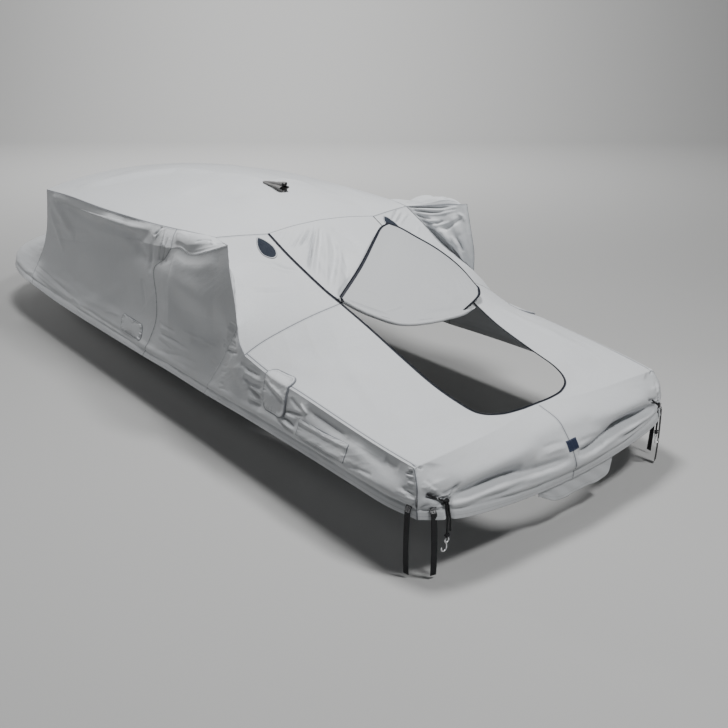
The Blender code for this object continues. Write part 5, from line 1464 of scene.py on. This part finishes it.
starboard = seam("hatchRim", 1, n["deck"], turned=True)
rim = chain(seam("hatchRim", -1, n["deck"]), starboard[: len(starboard) - closedRows])
rim = evenLine(rim, 360)
ahead = unit(np.gradient(rim, axis=0))
toward = unit(np.cross((0, 0, 1.0), ahead))
zipTape("openingZip", rim - 0.004 * toward, toward, zips["rimWidth"], "opening_zip", zips["flatRise"], 0.86)

backGrid = next(points for name, points in clothTris if name == "hatchPanel")
lastRow = len(backGrid) - 1
portRow, starboardRow = (int(round((len(back) + extra) / lastHatchRow * lastRow)) for extra in (15, 5))
edge = np.vstack([backGrid[:portRow][::-1, 0], backGrid[0, 1:-1], backGrid[:starboardRow, -1]])
inner = np.vstack([backGrid[:portRow][::-1, 2], backGrid[2, 1:-1], backGrid[:starboardRow, -3]])
edge, inner = evenLine(edge, 380), evenLine(inner, 380)
toward = unit(edge - inner)
for _ in range(12):
    toward[1:-1] = unit(toward[:-2] + toward[1:-1] + toward[2:])
zipTape("hatchZip", edge - 0.009 * toward, toward, zips["flapWidth"], "hatch_zip", zips["flatRise"],
        0.80, 0.0075, allCloth)
print("zips made")


webbing = {"top": 0.104, "sewnTo": 0.056, "end": -0.345, "wide": 0.038, "thick": 0.0025, "box": 0.044}


def strap(name, node, origin, across, outward):
    # webbing sewn flat on the cloth, which hangs free below the hem
    shares = np.linspace(-0.5, 0.5, 9)
    rows = []
    for up in np.linspace(webbing["top"], webbing["sewnTo"], 9):
        starts = origin + shares[:, None] * webbing["wide"] * across + 0.3 * outward + np.array((0, 0, up))
        rows.append(np.array([cast(allCloth, start, -outward)[0] for start in starts]))
    rows = np.array(rows)
    level = (rows @ outward).max(axis=1)
    rows += (0.5 * (level[:, None] - rows @ outward) + webbing["thick"])[..., None] * outward
    hung = rows[-1]
    rows = list(rows)
    for share in np.linspace(0, 1, 34)[1:]:
        drop = share * (webbing["end"] - webbing["sewnTo"])
        sway = 0.008 * math.sin(2.6 * share) * outward + 0.004 * share * across
        cup = 0.0010 * np.cos(np.pi * shares)[:, None] * outward * share
        rows.append(hung + sway + cup + np.array((0, 0, drop)))
    points = np.array(rows)[::-1]
    u = np.broadcast_to((shares * webbing["wide"])[None], points.shape[:2])
    v = lengthsAlong(points, 0)
    fromTop = v[-1:] - v
    # a box of stitches with a cross in it
    cross = np.minimum(np.abs(np.abs(u) - np.abs(fromTop - webbing["box"] / 2)) * 0.72, 1)
    toEnds = np.minimum(np.abs(fromTop), np.abs(fromTop - webbing["box"]))
    box = np.minimum(webbing["wide"] / 2 - np.abs(u), toEnds)
    away = np.where(fromTop < webbing["box"] + 0.002, np.minimum(box, cross + 0.0005), 1.0)
    made = shell(name, points, "webbing", [node], webbing["thick"], {"weltAway": away, "weltRun": v + u})
    declared(points)


for word, side in bothSides:
    strap(f"{word}SideStrap", f"{word}_side_strap", np.array((side * 1.25, 0.152, 0)),
          np.array((0, side, 0)), np.array((side, 0, 0)))
    strap(f"{word}SternStrap", f"{word}_stern_strap", np.array((side * 1.128, 0, 0)),
          np.array((1, 0, 0)), np.array((0, -1, 0)))
print("straps made")


def tubePoints(path, radii, sides=16):
    ahead = unit(np.gradient(path, axis=0))
    aside = np.cross(ahead[0], (0.3, 0.9, 0.2))
    rows = []
    turn = np.linspace(0, 2 * math.pi, sides + 1)[:, None]
    for point, way, radius in zip(path, ahead, radii):
        aside = unit(aside - (aside @ way) * way)
        over = np.cross(way, aside)
        rows.append(point + radius * (np.cos(turn) * aside + np.sin(turn) * over))

    def cap(end, sense):  # a ring drawn in, and the middle
        out = sense * radii[end] * ahead[end]
        drawnIn = path[end] + 0.45 * out + (rows[end] - path[end]) * 0.75
        return [drawnIn, path[end] + 0.6 * out + 0 * rows[end]]

    return np.array(cap(0, -1)[::-1] + rows + cap(-1, 1))


def tube(name, path, radii, finishName, nodes=()):
    points = tubePoints(path, radii)
    around = np.linspace(0, 2 * math.pi * radii[0], points.shape[1])[None] + np.zeros((len(points), 1))
    return shell(name, points, finishName, nodes, 0.0, None, (around, lengthsAlong(points, 0)), closed=True)


def knotPath(centre, first, second, third, size):
    t = np.linspace(0, 2 * math.pi, 73)
    turns = [np.sin(t) + 2 * np.sin(2 * t), np.cos(t) - 2 * np.cos(2 * t), -1.3 * np.sin(3 * t)]
    loop = np.stack(turns, -1) / 3
    return centre + size * (loop[:, :1] * first + loop[:, 1:2] * second + loop[:, 2:] * third)


cords = {"diameter": 0.012, "wire": 0.0085, "eye": 0.015, "shank": 0.030, "bow": 0.021, "underKnot": 0.00384}


def hookLine(foot, out, up):
    # an eye under the knot, a straight shank and an open bow
    neck = foot - cords["eye"] * up
    bow = neck - cords["shank"] * up
    eyeTurn, bowTurn = (np.radians(np.linspace(*turn))[:, None] for turn in ((268, -42, 40), (-8, -200, 30)))
    eye = foot + cords["eye"] * (np.cos(eyeTurn) * out + np.sin(eyeTurn) * up)
    shank = [neck + 0.2 * cords["eye"] * out - 0.6 * cords["eye"] * up, bow]
    bend = bow + cords["bow"] * out + cords["bow"] * (-np.cos(bowTurn) * out + np.sin(bowTurn) * up)
    return smoothLine(np.vstack([eye, shank, bend]), 150)


for word, side in bothSides:
    rope, tail = (smoothLine(cordRoutes[f"{word}Tie{kind}"], 90) for kind in ("Rope", "Tail"))
    thick = cords["diameter"] / 2
    knotAt = np.array(cordRoutes[f"{word}TieRope"][5])
    out, up, aft = np.array((side, 0.0, 0.0)), np.array((0.0, 0.0, 1.0)), np.array((0.0, -1.0, 0.0))
    near = np.linalg.norm(rope - knotAt, axis=1)
    radii = thick * (1 + 0.25 * np.clip(1 - near / 0.012, 0, 1))
    fittings = []
    for key, centre, size in (("TopKnot", knotAt, 0.0165), ("LowKnot", rope[-1] + 0.010 * up, 0.0130)):
        path = knotPath(centre, out, up, aft, size)
        fittings.append(tube(f"{word}{key}", path, np.full(len(path), 0.0060), "cord"))
    wire = hookLine(rope[-1] - (cords["underKnot"] + cords["eye"] + cords["wire"] / 2) * up * 0.9, out, up)
    wireRadii = np.full(len(wire), cords["wire"] / 2)
    wireRadii[-12:] *= np.linspace(1, 0.8, 12)
    fittings.append(tube(f"{word}TieHook", wire, wireRadii, "wire", [f"{word}_tie_hook"]))
    for key, path, ends, exitAt, pieces, node in (
        ("TieRope", rope, radii, rope[0], fittings, "tie_rope"),
        ("TieTail", tail, np.full(len(tail), thick), tail[0], [], "tie_tail"),
    ):
        made = tube(f"{word}{key}", path, ends, "cord", [f"{word}_{node}"])
        length = float(np.linalg.norm(np.diff(path, axis=0), axis=1).sum())
        [tuple(p - underTop) for p in path]
        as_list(pieces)
print("ties made")

tongue = {
    "line": ((-0.310, -0.085), (-0.170, -0.160), (-0.070, -0.180), (0.170, -0.182), (0.400, -0.180),
             (0.450, -0.085)),
    "top": -0.030,
}
lower = smoothLine([(across, 0, up) for across, up in tongue["line"]], 90)
insides = np.array([cast(allCloth, (point[0], 0.3, tongue["top"]), (0, -1, 0))[0][1] for point in lower])
insides = np.convolve(np.pad(insides, 8, mode="edge"), np.ones(17) / 17, mode="valid")
rows = []
for share in np.linspace(0, 1, 24):
    row = []
    for point, inside in zip(lower, insides):
        up = point[2] + (tongue["top"] - point[2]) * share
        wave = 0.004 * (1 - share) * math.sin(17 * point[0]) + 0.0015 * math.sin(41 * point[0] + 9 * share)
        row.append((point[0], inside + 0.010 + wave, up))
    rows.append(row)
tonguePoints = np.array(rows)
layers = hemLayers(lengthsAlong(tonguePoints, 0), lengthsAlong(tonguePoints, 1))
made = shell("sternTongue", tonguePoints, "canvas", ["stern_tongue"], 0.0014, layers)
declared(tonguePoints)
print("small pieces made")

studio = {
    "low": -1.70,
    "away": 17.0,
    "radius": 6.0,
    "toward": (0.632, 0.775),
    "half": 60.0,
    "high": 40.0,
    "colour": (0.42, 0.42, 0.415),
}
floorData = bpy.data.meshes.new("floor")
ahead = np.array((*studio["toward"], 0.0))
aside = np.array((-ahead[1], ahead[0], 0.0))
profile = [(-studio["half"], studio["low"])]
for k in range(25):  # the floor turns up into a wall behind the cover
    turn = math.pi / 2 * k / 24
    far = studio["away"] + studio["radius"] * math.sin(turn)
    profile.append((far, studio["low"] + studio["radius"] * (1 - math.cos(turn))))
profile.append((studio["away"] + studio["radius"], studio["high"]))
corners = [tuple(far * ahead + reach * aside + np.array((0, 0, up)))
           for far, up in profile for reach in (studio["half"], -studio["half"])]
faces = [(2 * k, 2 * k + 1, 2 * k + 3, 2 * k + 2) for k in range(len(profile) - 1)]
floorData.from_pydata(corners, [], faces)
floorData.polygons.foreach_set("use_smooth", np.ones(len(floorData.polygons), bool))
floor = bpy.data.objects.new("floor", floorData)
paleFloor = {"Base Color": studio["colour"], "Roughness": 0.9}
floorData.materials.append(finish("paleFloor", lambda tree: paleFloor))
bpy.context.scene.collection.objects.link(floor)

world = bpy.data.worlds.new("studio")
bpy.context.scene.world = world
world.use_nodes = True
sky = world.node_tree.nodes["Background"].inputs
sky[0].default_value = (0.80, 0.84, 0.90, 1)
sky[1].default_value = 0.09
lamps = {
    "overhead": {"at": (-0.6, -1.4, 6.5), "aim": (0, -1.0, 0), "size": 1.8, "power": 600},
    "stern": {"at": (1.4, -7.5, 7.5), "aim": (0, -3.4, -0.8), "size": 1.4, "power": 680},
    "backdrop": {"at": (4.0, 8.0, 11.0), "aim": (14, 17, 3), "size": 7.0, "power": 4400},
    "port": {"at": (-5.0, 8.0, 3.0), "aim": (-1.0, 0.5, -0.6), "size": 2.0, "power": 190},
}
for name, lamp in lamps.items():
    light = bpy.data.objects.new(name, bpy.data.lights.new(name, "AREA"))
    light.data.size = lamp["size"]
    light.data.energy = lamp["power"]
    light.location = lamp["at"]
    light.rotation_euler = (Vector(lamp["aim"]) - Vector(lamp["at"])).to_track_quat("-Z", "Y").to_euler()
    bpy.context.scene.collection.objects.link(light)
